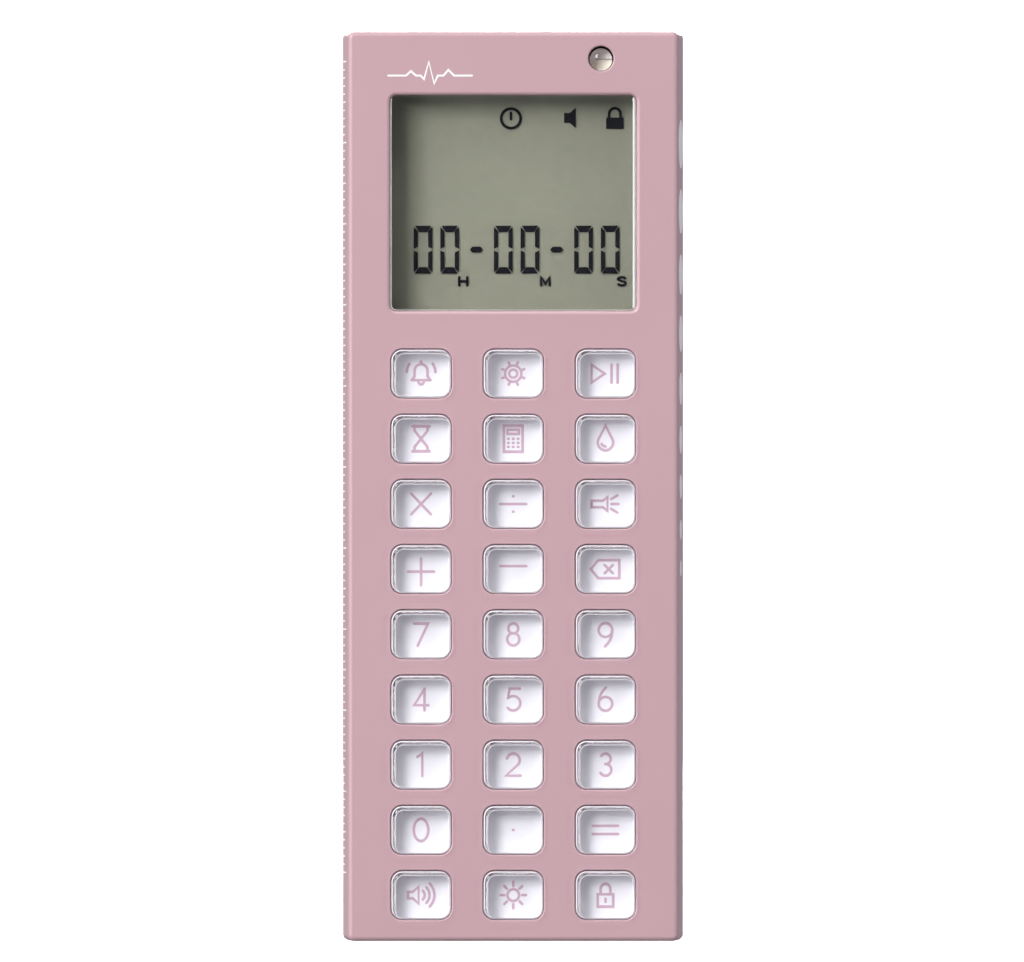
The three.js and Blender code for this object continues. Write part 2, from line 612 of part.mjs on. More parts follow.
const alerts = assembly(
  part('vibration_motor', vibrationMotor(), finish(0xb7babd, 0.3, 1)),
  part('motor_boot', motorBoot(), finish(0x26272a, 0.85)),
  part('motor_weight', motorWeight(), finish(0x8e9194, 0.35, 1)),
  part('buzzer_disc', buzzerPlate(BUZZER.brass, BUZZER_DEPTH.brass), finish(0xc9a24a, 0.3, 1)),
  part('buzzer_ceramic', buzzerPlate(BUZZER.ceramic, BUZZER_DEPTH.ceramic), finish(0xe7e3d8, 0.5)),
);
Object.entries(LEAD_ROUTES).forEach(([name, route]) => (
  alerts.add(part(name, lead(route), finish(name.endsWith('1') ? 0xb3332c : 0x2a2a2e, 0.6)))
));

export default assembly(shells, keypad, display, electronics, power, alerts);
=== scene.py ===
import json
import math

import bmesh
import bpy
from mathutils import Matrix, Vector

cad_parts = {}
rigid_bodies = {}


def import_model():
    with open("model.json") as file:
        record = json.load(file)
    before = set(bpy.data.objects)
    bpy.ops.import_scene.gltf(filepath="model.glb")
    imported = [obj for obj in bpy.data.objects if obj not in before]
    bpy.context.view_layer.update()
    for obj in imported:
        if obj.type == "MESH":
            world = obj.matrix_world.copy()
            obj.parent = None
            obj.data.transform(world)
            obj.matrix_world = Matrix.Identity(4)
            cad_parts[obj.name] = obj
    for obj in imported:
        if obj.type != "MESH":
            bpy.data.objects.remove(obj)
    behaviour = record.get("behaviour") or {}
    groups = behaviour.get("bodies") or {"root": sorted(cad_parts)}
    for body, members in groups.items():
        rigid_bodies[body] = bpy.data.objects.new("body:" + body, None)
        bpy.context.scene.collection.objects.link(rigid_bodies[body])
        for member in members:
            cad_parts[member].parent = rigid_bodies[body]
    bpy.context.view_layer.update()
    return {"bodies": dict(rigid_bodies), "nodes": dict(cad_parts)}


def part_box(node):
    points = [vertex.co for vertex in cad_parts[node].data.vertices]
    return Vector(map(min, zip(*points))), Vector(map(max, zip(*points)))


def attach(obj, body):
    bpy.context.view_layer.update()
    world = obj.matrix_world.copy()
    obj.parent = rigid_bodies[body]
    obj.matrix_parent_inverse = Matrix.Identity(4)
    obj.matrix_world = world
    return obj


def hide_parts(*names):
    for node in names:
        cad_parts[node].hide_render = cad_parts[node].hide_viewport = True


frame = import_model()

# Looks of a nurse's pocket timer and calculator. The script works in millimetres and turns
# them into metres in at(). X goes to the right, Z up, and a depth is measured backwards from
# the flat front face.
MM = 0.001


# ---- Places and sizes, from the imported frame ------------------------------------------
def box_mm(node):
    """The lowest and highest corner of a CAD node, in millimetres."""
    low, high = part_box(node)
    return low / MM, high / MM


def centre_mm(node):
    """The middle of a CAD node's box, in millimetres."""
    low, high = box_mm(node)
    return (low + high) / 2


FRONT_LOW, FRONT_HIGH = box_mm("front_case")
REAR_HIGH = box_mm("rear_case")[1]
FRONT_Y = FRONT_LOW.y
WIDTH = FRONT_HIGH.x - FRONT_LOW.x
HEIGHT = FRONT_HIGH.z - FRONT_LOW.z
MID_Z = (FRONT_HIGH.z + FRONT_LOW.z) / 2
PART_LINE = FRONT_HIGH.y - FRONT_Y
BACK = REAR_HIGH.y - FRONT_Y

BODY_CORNER = 0.75
PART_GAP = 0.1
FRONT_DRAFT = 0.65
REAR_DRAFT = 0.35
FRONT_ROUND = 0.6
REAR_ROUND = 0.7
WALL = 1.5
FRONT_PLATE = 1.5
BACK_PLATE = 9.9
PART_CHAMFER = 0.15

LENS_LOW, LENS_HIGH = box_mm("window_lens")
LENS_FLANGE = 1.6
LENS_GAP = 0.2
LENS_SHOWN_GAP = 0.08
WINDOW_WIDTH = LENS_HIGH.x - LENS_LOW.x - 2 * LENS_FLANGE + 2 * LENS_GAP
WINDOW_HEIGHT = LENS_HIGH.z - LENS_LOW.z - 2 * LENS_FLANGE + 2 * LENS_GAP
WINDOW_Z = (LENS_HIGH.z + LENS_LOW.z) / 2
WINDOW_CORNER = 0.8
WINDOW_ROUND = 0.45
LENS_TOP = 0.2
LENS_BEVEL = 0.2
LENS_STEP = 1.8
LENS_BACK = 2.4

KEY_BODIES = sorted(name for name in frame["bodies"] if name.startswith("key_"))
KEY_LOW, KEY_HIGH = box_mm(KEY_BODIES[0])
KEY_FLANGE = 0.6
KEY_WIDTH = KEY_HIGH.x - KEY_LOW.x - 2 * KEY_FLANGE
KEY_HEIGHT = KEY_HIGH.z - KEY_LOW.z - 2 * KEY_FLANGE
KEY_CORNER = 1.4
KEY_TOP = KEY_LOW.y - FRONT_Y
KEY_HOLE_GAP = 0.08
KEY_HOLE_ROUND = 0.13
KEY_INSET = 0.04
SHOULDER = 0.7
RIB = 0.42
RIB_SHIFT = 0.14
RIB_TOP = 0.3
KEY_BASE = 1.6
KEY_BASE_BACK = 2.15
KEY_TIP = KEY_HIGH.y - FRONT_Y
LEGEND_STROKE = 0.33
STEM_WIDTH = 3.0
STEM_HEIGHT = 2.4

TORCH = centre_mm("torch_led")
TORCH_HOLE = 1.55
TORCH_DOME = 1.4
TORCH_DROP = 0.1
TORCH_CROWN = 1.1
TORCH_TIP = 0.4
TORCH_RIM = 1.75
TORCH_SEAT = 4.3

# The cap turns about the middle of the coin cell, and its lugs face the notches when it is open.
CAP = centre_mm("coin_cell")
CAP_RADIUS = 11.85
CAP_FRONT = 9.9
CAP_MOUTH = 12.0
CAP_MOUTH_FLOOR = 10.4
LUG_ROOT = 10.5
LUG_REACH = 12.8
LUG_WIDTH = 3.6
LUG_BACK = 10.35
NOTCH_REACH = 13.1
NOTCH_WIDTH = 4.4
NOTCH_TURN = -45

BUZZER = centre_mm("buzzer_disc")
SOUND_RADIUS = 0.6
SOUND_RING = 3.2

# Round walls and rooms in the rear shell, as (radius, front, back).
CELL_BAY = (11.3, 5.7, BACK_PLATE + 0.1)
CELL_COLLAR = (14.3, 8.9, BACK_PLATE + 0.15)
CELL_ROOM = (10.3, 6.0, 9.45)
SEAL_ROOM = (11.75, 9.35, 9.85)
LUG_GROOVE = (13.3, 9.75, 10.5)
BUZZER_WALL = (10.4, 8.9, BACK_PLATE + 0.1)
BUZZER_ROOM = (9.6, 8.7, 9.5)
BUZZER_THROAT = (8.8, 9.4, BACK_PLATE)

SCREWS = [centre_mm(f"case_screw_{i}") for i in (1, 2, 3, 4)]
SCREW_PILLAR = 1.6
SCREW_PILOT = 0.8
SCREW_PILOT_FLOOR = 3.4
SCREW_TUBE = 2.1
SCREW_BORE = 0.95
SCREW_SEAT = 9.3
SCREW_SINK = 1.75


def at(x, depth, z):
    """The point in metres for millimetres across, backwards from the front face, and up."""
    return Vector((x, FRONT_Y + depth, z)) * MM


# ---- Mesh helpers ----------------------------------------------------------------------
def rounded(width, height, corner, depth, x=0.0, z=0.0, steps=10):
    """A ring of points round a rectangle with round corners, at one depth."""
    corner = max(corner, 0.02)
    ring = []
    for quarter, (sx, sz) in enumerate(((1, 1), (-1, 1), (-1, -1), (1, -1))):
        cx = x + sx * (width / 2 - corner)
        cz = z + sz * (height / 2 - corner)
        for i in range(steps + 1):
            angle = math.radians(90 * (quarter + i / steps))
            ring.append(at(cx + corner * math.cos(angle), depth, cz + corner * math.sin(angle)))
    return ring


def circle(radius, depth, x=0.0, z=0.0, sides=64):
    """A ring of points round a circle, at one depth."""
    angles = (2 * math.pi * i / sides for i in range(sides))
    return [at(x + radius * math.cos(a), depth, z + radius * math.sin(a)) for a in angles]


def skin(bm, rings, slots=None):
    """A closed body through rings with the same number of points. slots[i] is the material
    slot of the band after ring i."""
    rows = [[bm.verts.new(p) for p in ring] for ring in rings]
    for i, (a, b) in enumerate(zip(rows, rows[1:])):
        for j in range(len(a)):
            k = (j + 1) % len(a)
            face = bm.faces.new((a[j], a[k], b[k], b[j]))
            face.material_index = slots[i] if slots else 0
    bm.faces.new(rows[0])
    bm.faces.new(rows[-1])


def plate(bm, outline, place, low, high):
    """A flat closed prism: place(u, v, height) puts a point of the outline in space."""
    skin(bm, [[place(u, v, h) for u, v in outline] for h in (low, high)])


def ribbon(bm, line, width, place, low, high, cap_steps=4):
    """A flat stroke of one width along a line of (u, v) points, closed if its ends meet."""
    closed = math.dist(line[0], line[-1]) < 1e-6
    points = [Vector(p) for p in (line[:-1] if closed else line)]
    count = len(points)
    sections = []
    for i, p in enumerate(points):
        before = points[i - 1] if closed or i else None
        after = points[(i + 1) % count] if closed or i + 1 < count else None
        normals = []
        for a, b in ((before, p), (p, after)):
            if a is not None and b is not None:
                along = (b - a).normalized()
                normals.append(Vector((-along.y, along.x)))
        side = sum(normals, Vector((0, 0))).normalized()
        reach = min(1 / max(side.dot(normals[0]), 0.3), 1.8)
        sections.append((p, side * (width / 2 * reach)))
    if not closed:
        for end in (0, -1):
            p, side = sections[end]
            out = (points[end] - points[1 if end == 0 else -2]).normalized()
            for step in range(1, cap_steps + 1):
                angle = math.radians(85 * step / cap_steps)
                tip = (p + out * (width / 2 * math.sin(angle)), side * math.cos(angle))
                sections.insert(0, tip) if end == 0 else sections.append(tip)
    rows = []
    for p, side in sections:
        a, b = p + side, p - side
        corners = ((a, low), (a, high), (b, high), (b, low))
        rows.append([bm.verts.new(place(q.x, q.y, h)) for q, h in corners])
    pairs = list(zip(rows, rows[1:])) + ([(rows[-1], rows[0])] if closed else [])
    for a, b in pairs:
        for j in range(4):
            bm.faces.new((a[j], a[(j + 1) % 4], b[(j + 1) % 4], b[j]))
    if not closed:
        bm.faces.new(rows[0])
        bm.faces.new(rows[-1])


def piece(name, bm, *materials, smooth=40):
    """An object from a bmesh, shaded smooth except over edges sharper than smooth degrees."""
    bmesh.ops.recalc_face_normals(bm, faces=bm.faces)
    mesh = bpy.data.meshes.new(name)
    bm.to_mesh(mesh)
    bm.free()
    obj = bpy.data.objects.new(name, mesh)
    bpy.context.scene.collection.objects.link(obj)
    for one in materials:
        mesh.materials.append(one)
    if smooth:
        soften(obj, smooth)
    return obj


def soften(obj, angle):
    """Shades an object smooth, but keeps edges sharper than the angle, in degrees."""
    obj.data.shade_smooth()
    obj.data.set_sharp_from_angle(angle=math.radians(angle))


def lofted(name, rings, *materials, slots=None, smooth=40):
    """One object of one closed body through rings."""
    bm = bmesh.new()
    skin(bm, rings, slots)
    return piece(name, bm, *materials, smooth=smooth)


def several(name, ring_sets, *materials, smooth=None):
    """One object of several separate closed bodies."""
    bm = bmesh.new()
    for rings in ring_sets:
        skin(bm, rings)
    return piece(name, bm, *materials, smooth=smooth)


def disc(radius, front, back, x=0.0, z=0.0, sides=64):
    """The rings of a round plate."""
    return [circle(radius, front, x, z, sides), circle(radius, back, x, z, sides)]


def slab(width, height, corner, front, back, x=0.0, z=0.0, steps=10):
    """The rings of a plate with round corners."""
    return [rounded(width, height, corner, d, x, z, steps) for d in (front, back)]


def block(x0, d0, z0, x1, d1, z1):
    """The rings of a box between two corners."""
    corners = ((x0, z0), (x1, z0), (x1, z1), (x0, z1))
    return [[at(x, d, z) for x, z in corners] for d in (d0, d1)]


def turned_ring(ring, angle, x, z):
    """A ring turned by an angle in degrees about the front-to-back line through x, z."""
    c, s = math.cos(math.radians(angle)), math.sin(math.radians(angle))
    out = []
    for p in ring:
        dx, dz = p.x - x * MM, p.z - z * MM
        out.append(Vector((x * MM + dx * c - dz * s, p.y, z * MM + dx * s + dz * c)))
    return out


def combine(base, *steps):
    """Applies (operation, tool) steps to base by exact booleans, and deletes the tools."""
    for operation, tool in steps:
        modifier = base.modifiers.new("combine", "BOOLEAN")
        modifier.operation = operation
        modifier.solver = "EXACT"
        modifier.object = tool
    graph = bpy.context.evaluated_depsgraph_get()
    result = bpy.data.meshes.new_from_object(base.evaluated_get(graph), depsgraph=graph)
    base.modifiers.clear()
    base.data = result
    for _, tool in steps:
        bpy.data.objects.remove(tool)
    return base


def tidied(obj, angle=32):
    """Merges what a boolean left double, and shades the body with flat faces kept flat."""
    bm = bmesh.new()
    bm.from_mesh(obj.data)
    double = 0.0005 * MM
    bmesh.ops.remove_doubles(bm, verts=bm.verts, dist=double)
    bmesh.ops.dissolve_degenerate(bm, edges=bm.edges, dist=double)
    bm.to_mesh(obj.data)
    bm.free()
    soften(obj, angle)
    weighted = obj.modifiers.new("weighted_normals", "WEIGHTED_NORMAL")
    weighted.keep_sharp = True
    weighted.weight = 100
    return obj


def quarter(radius, steps=6):
    """(distance from the face, inset) pairs round a quarter circle, from the face outwards."""
    angles = [math.radians(90 - 90 * i / steps) for i in range(steps + 1)]
    return [(radius * (1 - math.sin(a)), radius * (1 - math.cos(a))) for a in angles]


def arc(x, z, radius, start, end, steps=None, squeeze=1.0):
    """Points along an arc, in degrees; squeeze scales it across."""
    steps = steps or max(4, int(abs(end - start) / 12))
    angles = (math.radians(start + (end - start) * i / steps) for i in range(steps + 1))
    return [(x + squeeze * radius * math.cos(a), z + radius * math.sin(a)) for a in angles]


# ---- Materials -------------------------------------------------------------------------
def node(tree, kind, **values):
    made = tree.nodes.new(kind)
    for key, value in values.items():
        setattr(made, key, value)
    return made


def shade(colour, factor):
    return tuple(min(c * factor, 1.0) for c in colour) + (1.0,)


def finish(name, colour, rough, *, metal=0.0, tint=0.04, patch=600, grain=4000, bump=0.03,
           spread=0.06, depth=0.02, stretch=(1, 1, 1), clear=False, **sockets):
    """A procedural material in object space. Its colour and roughness drift in patches, and a
    fine grain lifts its surface; scales are in features per metre and depth in millimetres."""
    made = bpy.data.materials.new(name)
    made.use_nodes = True
    tree = made.node_tree
    tree.nodes.clear()
    output = node(tree, "ShaderNodeOutputMaterial")
    surface = node(tree, "ShaderNodeBsdfPrincipled")
    place = node(tree, "ShaderNodeTexCoord")
    stretched = node(tree, "ShaderNodeMapping")
    stretched.inputs["Scale"].default_value = stretch
    tree.links.new(place.outputs["Object"], stretched.inputs["Vector"])
    noises = []
    for scale, detail in ((patch, 2.0), (grain, 3.0)):
        noise = node(tree, "ShaderNodeTexNoise")
        noise.inputs["Scale"].default_value = scale
        noise.inputs["Detail"].default_value = detail
        tree.links.new(stretched.outputs["Vector"], noise.inputs["Vector"])
        noises.append(noise)
    drift, fine = noises
    ramp = node(tree, "ShaderNodeValToRGB")
    ramp.color_ramp.elements[0].position = 0.3
    ramp.color_ramp.elements[0].color = shade(colour, 1 - tint)
    ramp.color_ramp.elements[1].position = 0.7
    ramp.color_ramp.elements[1].color = shade(colour, 1 + tint)
    tree.links.new(drift.outputs["Fac"], ramp.inputs["Fac"])
    tree.links.new(ramp.outputs["Color"], surface.inputs["Base Color"])
    gloss = node(tree, "ShaderNodeMapRange")
    gloss.inputs["To Min"].default_value = max(rough - spread, 0.0)
    gloss.inputs["To Max"].default_value = rough + spread
    tree.links.new(fine.outputs["Fac"], gloss.inputs["Value"])
    tree.links.new(gloss.outputs["Result"], surface.inputs["Roughness"])
    if bump:
        lift = node(tree, "ShaderNodeBump")
        lift.inputs["Strength"].default_value = bump
        lift.inputs["Distance"].default_value = depth * MM
        tree.links.new(fine.outputs["Fac"], lift.inputs["Height"])
        tree.links.new(lift.outputs["Normal"], surface.inputs["Normal"])
    surface.inputs["Metallic"].default_value = metal
    for key, value in sockets.items():
        surface.inputs[key.replace("_", " ")].default_value = value
    shown = surface.outputs["BSDF"]
    if clear:
        open_to_lamps = node(tree, "ShaderNodeMixShader")
        lamp_ray = node(tree, "ShaderNodeLightPath")
        passing = node(tree, "ShaderNodeBsdfTransparent")
        passing.inputs["Color"].default_value = shade(colour, 0.97)
        tree.links.new(lamp_ray.outputs["Is Shadow Ray"], open_to_lamps.inputs["Fac"])
        tree.links.new(shown, open_to_lamps.inputs[1])
        tree.links.new(passing.outputs["BSDF"], open_to_lamps.inputs[2])
        shown = open_to_lamps.outputs["Shader"]
    tree.links.new(shown, output.inputs["Surface"])
    return made


PINK = finish("shell_pink", (0.51, 0.333, 0.364), 0.38, tint=0.012, patch=90, grain=5200,
              bump=0.05, spread=0.05, depth=0.01, Coat_Weight=0.08, Coat_Roughness=0.22)
ACRYLIC = finish("key_acrylic", (0.985, 0.985, 1.0), 0.03, tint=0.004, patch=300, grain=900,
                 bump=0.01, spread=0.02, depth=0.01, clear=True,
                 Transmission_Weight=1.0, IOR=1.49)
# Painted highlight: a near-white, nearly opaque band on each clear key cap's rounded edge stands in
# for the bright rim that the clear cap shows.
KEY_RIM_PAINTED_HIGHLIGHT = finish("key_rim_painted_highlight", (0.82, 0.79, 0.84), 0.15, tint=0.01, patch=900, bump=0.02,
                  Transmission_Weight=0.1, IOR=1.49)
PEARL = finish("key_pearl", (0.74, 0.735, 0.765), 0.30, tint=0.02, patch=500, grain=7000,
               bump=0.04, spread=0.08)
# Painted shade: a dark mauve flange round each key base, put where the gap round the key shows only
# shade.
KEY_GAP_PAINTED_SHADE = finish("key_gap_painted_shade", (0.46, 0.32, 0.37), 0.6, tint=0.1, patch=2500, bump=0.02)
LEGEND = finish("legend_mauve", (0.50, 0.35, 0.43), 0.45, tint=0.05, patch=2500)
LENS = finish("lens_clear", (0.98, 0.985, 0.98), 0.02, tint=0.004, patch=200, grain=500,
              bump=0.008, spread=0.015, depth=0.01, clear=True,
              Transmission_Weight=1.0, IOR=1.47)
# Painted highlight: a rough white finish for faces of the window bevel, standing in for the light
# the clear lens edge catches.
LENS_PAINTED_EDGE_HIGHLIGHT = finish("lens_painted_edge_highlight", (0.93, 0.94, 0.94), 0.35, tint=0.03, patch=2500, bump=0.08,
                   Transmission_Weight=0.2)
LCD_GLASS = finish("lcd_clear", (0.93, 0.95, 0.92), 0.03, tint=0.004, patch=200, grain=600,
                   bump=0.01, spread=0.02, clear=True, Transmission_Weight=1.0, IOR=1.5)
LCD_GROUND = finish("lcd_ground", (0.222, 0.211, 0.177), 0.42, tint=0.035, patch=900,
                    grain=16000, bump=0.12, spread=0.1)
LCD_INK = finish("lcd_ink", (0.005, 0.005, 0.009), 0.5, tint=0.15, patch=2500, bump=0.02,
                 Specular_IOR_Level=0.1)
EPOXY = finish("led_epoxy", (0.97, 0.98, 0.97), 0.02, tint=0.005, patch=800, grain=2000,
               bump=0.01, spread=0.02, clear=True, Transmission_Weight=1.0, IOR=1.52)
PHOSPHOR = finish("led_phosphor", (0.93, 0.91, 0.76), 0.5, tint=0.06, patch=3000, grain=14000,
                  bump=0.2)
SILVER = finish("led_silver", (0.92, 0.88, 0.85), 0.42, metal=0.5, tint=0.04, patch=2500,
                grain=9000, bump=0.02)
PRINT = finish("print_white", (0.90, 0.90, 0.90), 0.4, tint=0.02, patch=3000, grain=9000,
               bump=0.06)
STEEL = finish("screw_steel", (0.60, 0.61, 0.62), 0.28, metal=1.0, tint=0.05, patch=1500,
               grain=9000, bump=0.08, spread=0.1, stretch=(1, 1, 4))


# ---- Stage: camera, light and floor ----------------------------------------------------
def aim(obj, target):
    obj.rotation_mode = "QUATERNION"
    obj.rotation_quaternion = (Vector(target) - obj.location).to_track_quat("-Z", "Y")


def add_camera():
    """A long lens, square to the front but for a hair's turn towards the left wall."""
    distance = 2.8
    turn = math.radians(-0.3)
    middle = at(-0.16, 0, HEIGHT * 0.506)
    data = bpy.data.cameras.new("camera")
    data.sensor_width = 36
    frame_width = HEIGHT * MM * 1.126
    data.lens = data.sensor_width * distance / frame_width
    data.clip_start, data.clip_end = 0.05, 60
    camera = bpy.data.objects.new("camera", data)
    camera.location = middle + distance * Vector((math.sin(turn), -math.cos(turn), 0))
    bpy.context.scene.collection.objects.link(camera)
    aim(camera, middle)
    bpy.context.scene.camera = camera


def add_lamp(name, place, size, power):
    """A rectangular lamp aimed at the middle of the object; size is (across, up), in metres."""
    data = bpy.data.lights.new(name, "AREA")
    data.shape = "RECTANGLE"
    data.size, data.size_y = size
    data.energy = power
    lamp = bpy.data.objects.new(name, data)
    lamp.location = place
    lamp.visible_transmission = False
    bpy.context.scene.collection.objects.link(lamp)
    aim(lamp, (0, 0, 0.056))


def add_world():
    """Even soft light from all sides, but for a dark card round the front view's camera. Each
    stop is (how far towards the back, from -1 to 1, strength)."""
    stops = ((-0.98, 0.04), (-0.80, 0.32), (0.0, 0.34), (0.3, 0.32))
    world = bpy.data.worlds.new("studio")
    world.use_nodes = True
    tree = world.node_tree
    direction = node(tree, "ShaderNodeTexCoord")
    parts = node(tree, "ShaderNodeSeparateXYZ")
    span = node(tree, "ShaderNodeMapRange")
    span.inputs["From Min"].default_value = -1
    glow = node(tree, "ShaderNodeValToRGB")
    ramp = glow.color_ramp
    while len(ramp.elements) < len(stops):
        ramp.elements.new(0.5)
    for element, (back, strength) in zip(ramp.elements, stops):
        element.position = (back + 1) / 2
        element.color = (strength * 0.98, strength * 0.95, strength * 1.05, 1)
    tree.links.new(direction.outputs["Generated"], parts.inputs["Vector"])
    tree.links.new(parts.outputs["Y"], span.inputs["Value"])
    tree.links.new(span.outputs["Result"], glow.inputs["Fac"])
    tree.links.new(glow.outputs["Color"], tree.nodes["Background"].inputs["Color"])
    bpy.context.scene.world = world


def add_stage():
    """A white floor that curves up into a wall all round, lit on its own as in a studio."""
    radius, bend, top = 3.0, 0.9, 3.4
    profile = [(0.02, 0.0), (0.6, 0.0), (1.6, 0.0)]
    for i in range(13):
        angle = math.radians(90 * i / 12)
        profile.append((radius + bend * math.sin(angle), bend * (1 - math.cos(angle))))
    profile.append((radius + bend, top))
    sides = 96
    bm = bmesh.new()
    rows = []
    for r, z in profile:
        angles = (2 * math.pi * j / sides for j in range(sides))
        rows.append([bm.verts.new((r * math.cos(a), r * math.sin(a), z)) for a in angles])
    for a, b in zip(rows, rows[1:]):
        for j in range(sides):
            k = (j + 1) % sides
            bm.faces.new((a[j], a[k], b[k], b[j]))
    bm.faces.new(rows[0])
    white = finish("floor_white", (0.9, 0.9, 0.9), 0.7, tint=0.01, patch=6, grain=40, bump=0,
                   Emission_Color=(1, 1, 1, 1), Emission_Strength=1.0)
    floor = piece("studio_floor", bm, white)
    floor.visible_diffuse = False
    floor.visible_glossy = False
    floor.visible_shadow = False
    floor.visible_transmission = False


bpy.context.scene.view_settings.view_transform = "Standard"
add_camera()
add_world()
add_stage()
add_lamp("key_light", (-1.1, -1.1, 0.9), (0.8, 0.8), 34.5)
add_lamp("top_strip", (0.1, -0.5, 1.3), (0.6, 0.12), 4)
add_lamp("right_strip", (1.2, -0.5, 0.1), (0.15, 0.9), 4)
add_lamp("left_fill", (-1.2, -0.9, 0.05), (0.3, 0.3), 4.5)
add_lamp("back_light", (0.0, 1.6, 0.7), (0.8, 0.8), 27)


# ---- Shells ----------------------------------------------------------------------------
def outer_rings(rows):
    """Rings of the whole outline from (depth, inset across, inset at the ends) rows."""
    rings = []
    for depth, across, ends in rows:
        corner = BODY_CORNER - min(across, ends)
        rings.append(rounded(WIDTH - 2 * across, HEIGHT - 2 * ends, corner, depth, 0, MID_Z, 12))
    return rings


def side_inset(depth):
    """How far the side walls stand in from the widest line, at a depth."""
    if depth < PART_LINE:
        return FRONT_DRAFT * (1 - (depth - FRONT_ROUND) / (PART_LINE - FRONT_ROUND))
    return REAR_DRAFT * (depth - PART_LINE) / (BACK - REAR_ROUND - PART_LINE)


def flared(width, height, corner, round_, x, z, steps=10):
    """The rings of a cutter for an opening in the front plate with a rounded front edge."""
    rows = [(-0.3, round_), (-0.002, round_), *quarter(round_)[1:], (FRONT_PLATE + 0.3, 0.0)]
    return [rounded(width + 2 * grow, height + 2 * grow, corner + grow, depth, x, z, steps)
            for depth, grow in rows]


def flared_round(radius, round_, x, z):
    """The same for a round opening."""
    rows = [(-0.3, round_), (-0.002, round_), *quarter(round_)[1:], (FRONT_PLATE + 0.3, 0.0)]
    return [circle(radius + grow, depth, x, z) for depth, grow in rows]


def front_shell():
    """The front case, with its window, key holes, torch hole and screw pillars."""
    rows = [(depth, FRONT_DRAFT + inset, inset) for depth, inset in quarter(FRONT_ROUND, 8)]
    rows += [(PART_LINE - PART_CHAMFER, side_inset(PART_LINE - PART_CHAMFER), 0),
             (PART_LINE, PART_CHAMFER, PART_CHAMFER)]
    shell = lofted("front_shell", outer_rings(rows), PINK, smooth=None)
    hollow = several("hollow", [slab(WIDTH - 2 * WALL, HEIGHT - 2 * WALL, 0.8, FRONT_PLATE,
                                     PART_LINE + 1, 0, MID_Z)])
    pillars = several("pillars", [disc(SCREW_PILLAR, FRONT_PLATE - 0.3, PART_LINE - 0.1, p.x,
                                       p.z, 32) for p in SCREWS])
    pilots = several("pilots", [disc(SCREW_PILOT, SCREW_PILOT_FLOOR, PART_LINE + 1, p.x, p.z, 24)
                                for p in SCREWS])
    window = several("window", [flared(WINDOW_WIDTH, WINDOW_HEIGHT, WINDOW_CORNER, WINDOW_ROUND,
                                       0, WINDOW_Z)])
    holes = []
    for body in KEY_BODIES:
        key = centre_mm(body)
        holes.append(flared(KEY_WIDTH + 2 * KEY_HOLE_GAP, KEY_HEIGHT + 2 * KEY_HOLE_GAP,
                            KEY_CORNER + KEY_HOLE_GAP, KEY_HOLE_ROUND, key.x, key.z))
    key_holes = several("key_holes", holes)
    torch_hole = several("torch_hole", [flared_round(TORCH_HOLE, 0.2, TORCH.x, TORCH.z)])
    combine(shell, ("DIFFERENCE", hollow), ("UNION", pillars), ("DIFFERENCE", pilots),
            ("DIFFERENCE", window), ("DIFFERENCE", key_holes), ("DIFFERENCE", torch_hole))
    tidied(shell)
    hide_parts("front_case")
    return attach(shell, "handset")


def register_lip():
    """The rings of the lip that reaches into the front shell, as an outer and an inner body."""
    gap, thick = 0.15, 0.8
    wide, tall = WIDTH - 2 * WALL, HEIGHT - 2 * WALL
    front, back = PART_LINE - 0.8, PART_LINE + 1
    outer = slab(wide - 2 * gap, tall - 2 * gap, 0.8, front, back, 0, MID_Z)
    inset = 2 * (gap + thick)
    inner = slab(wide - inset, tall - inset, 0.4, front - 0.5, back + 0.1, 0, MID_Z)
    return outer, inner


def bayonet(width, reach, front, back, turn):
    """Rings of the three blocks on the battery cap's circle, turned by an angle."""
    blocks = []
    for i in range(3):
        bar = block(CAP.x + LUG_ROOT, front, CAP.z - width / 2,
                    CAP.x + reach, back, CAP.z + width / 2)
        blocks.append([turned_ring(ring, 90 + turn + 120 * i, CAP.x, CAP.z) for ring in bar])
    return blocks


def chamfered(radius, floor, edge=0.2, x=0.0, z=0.0, sides=48):
    """The rings of a round cutter for the back face, with a chamfered mouth."""
    rows = ((radius, floor), (radius, BACK - edge), (radius + edge, BACK),
            (radius + edge, BACK + 0.3))
    return [circle(r, depth, x, z, sides) for r, depth in rows]


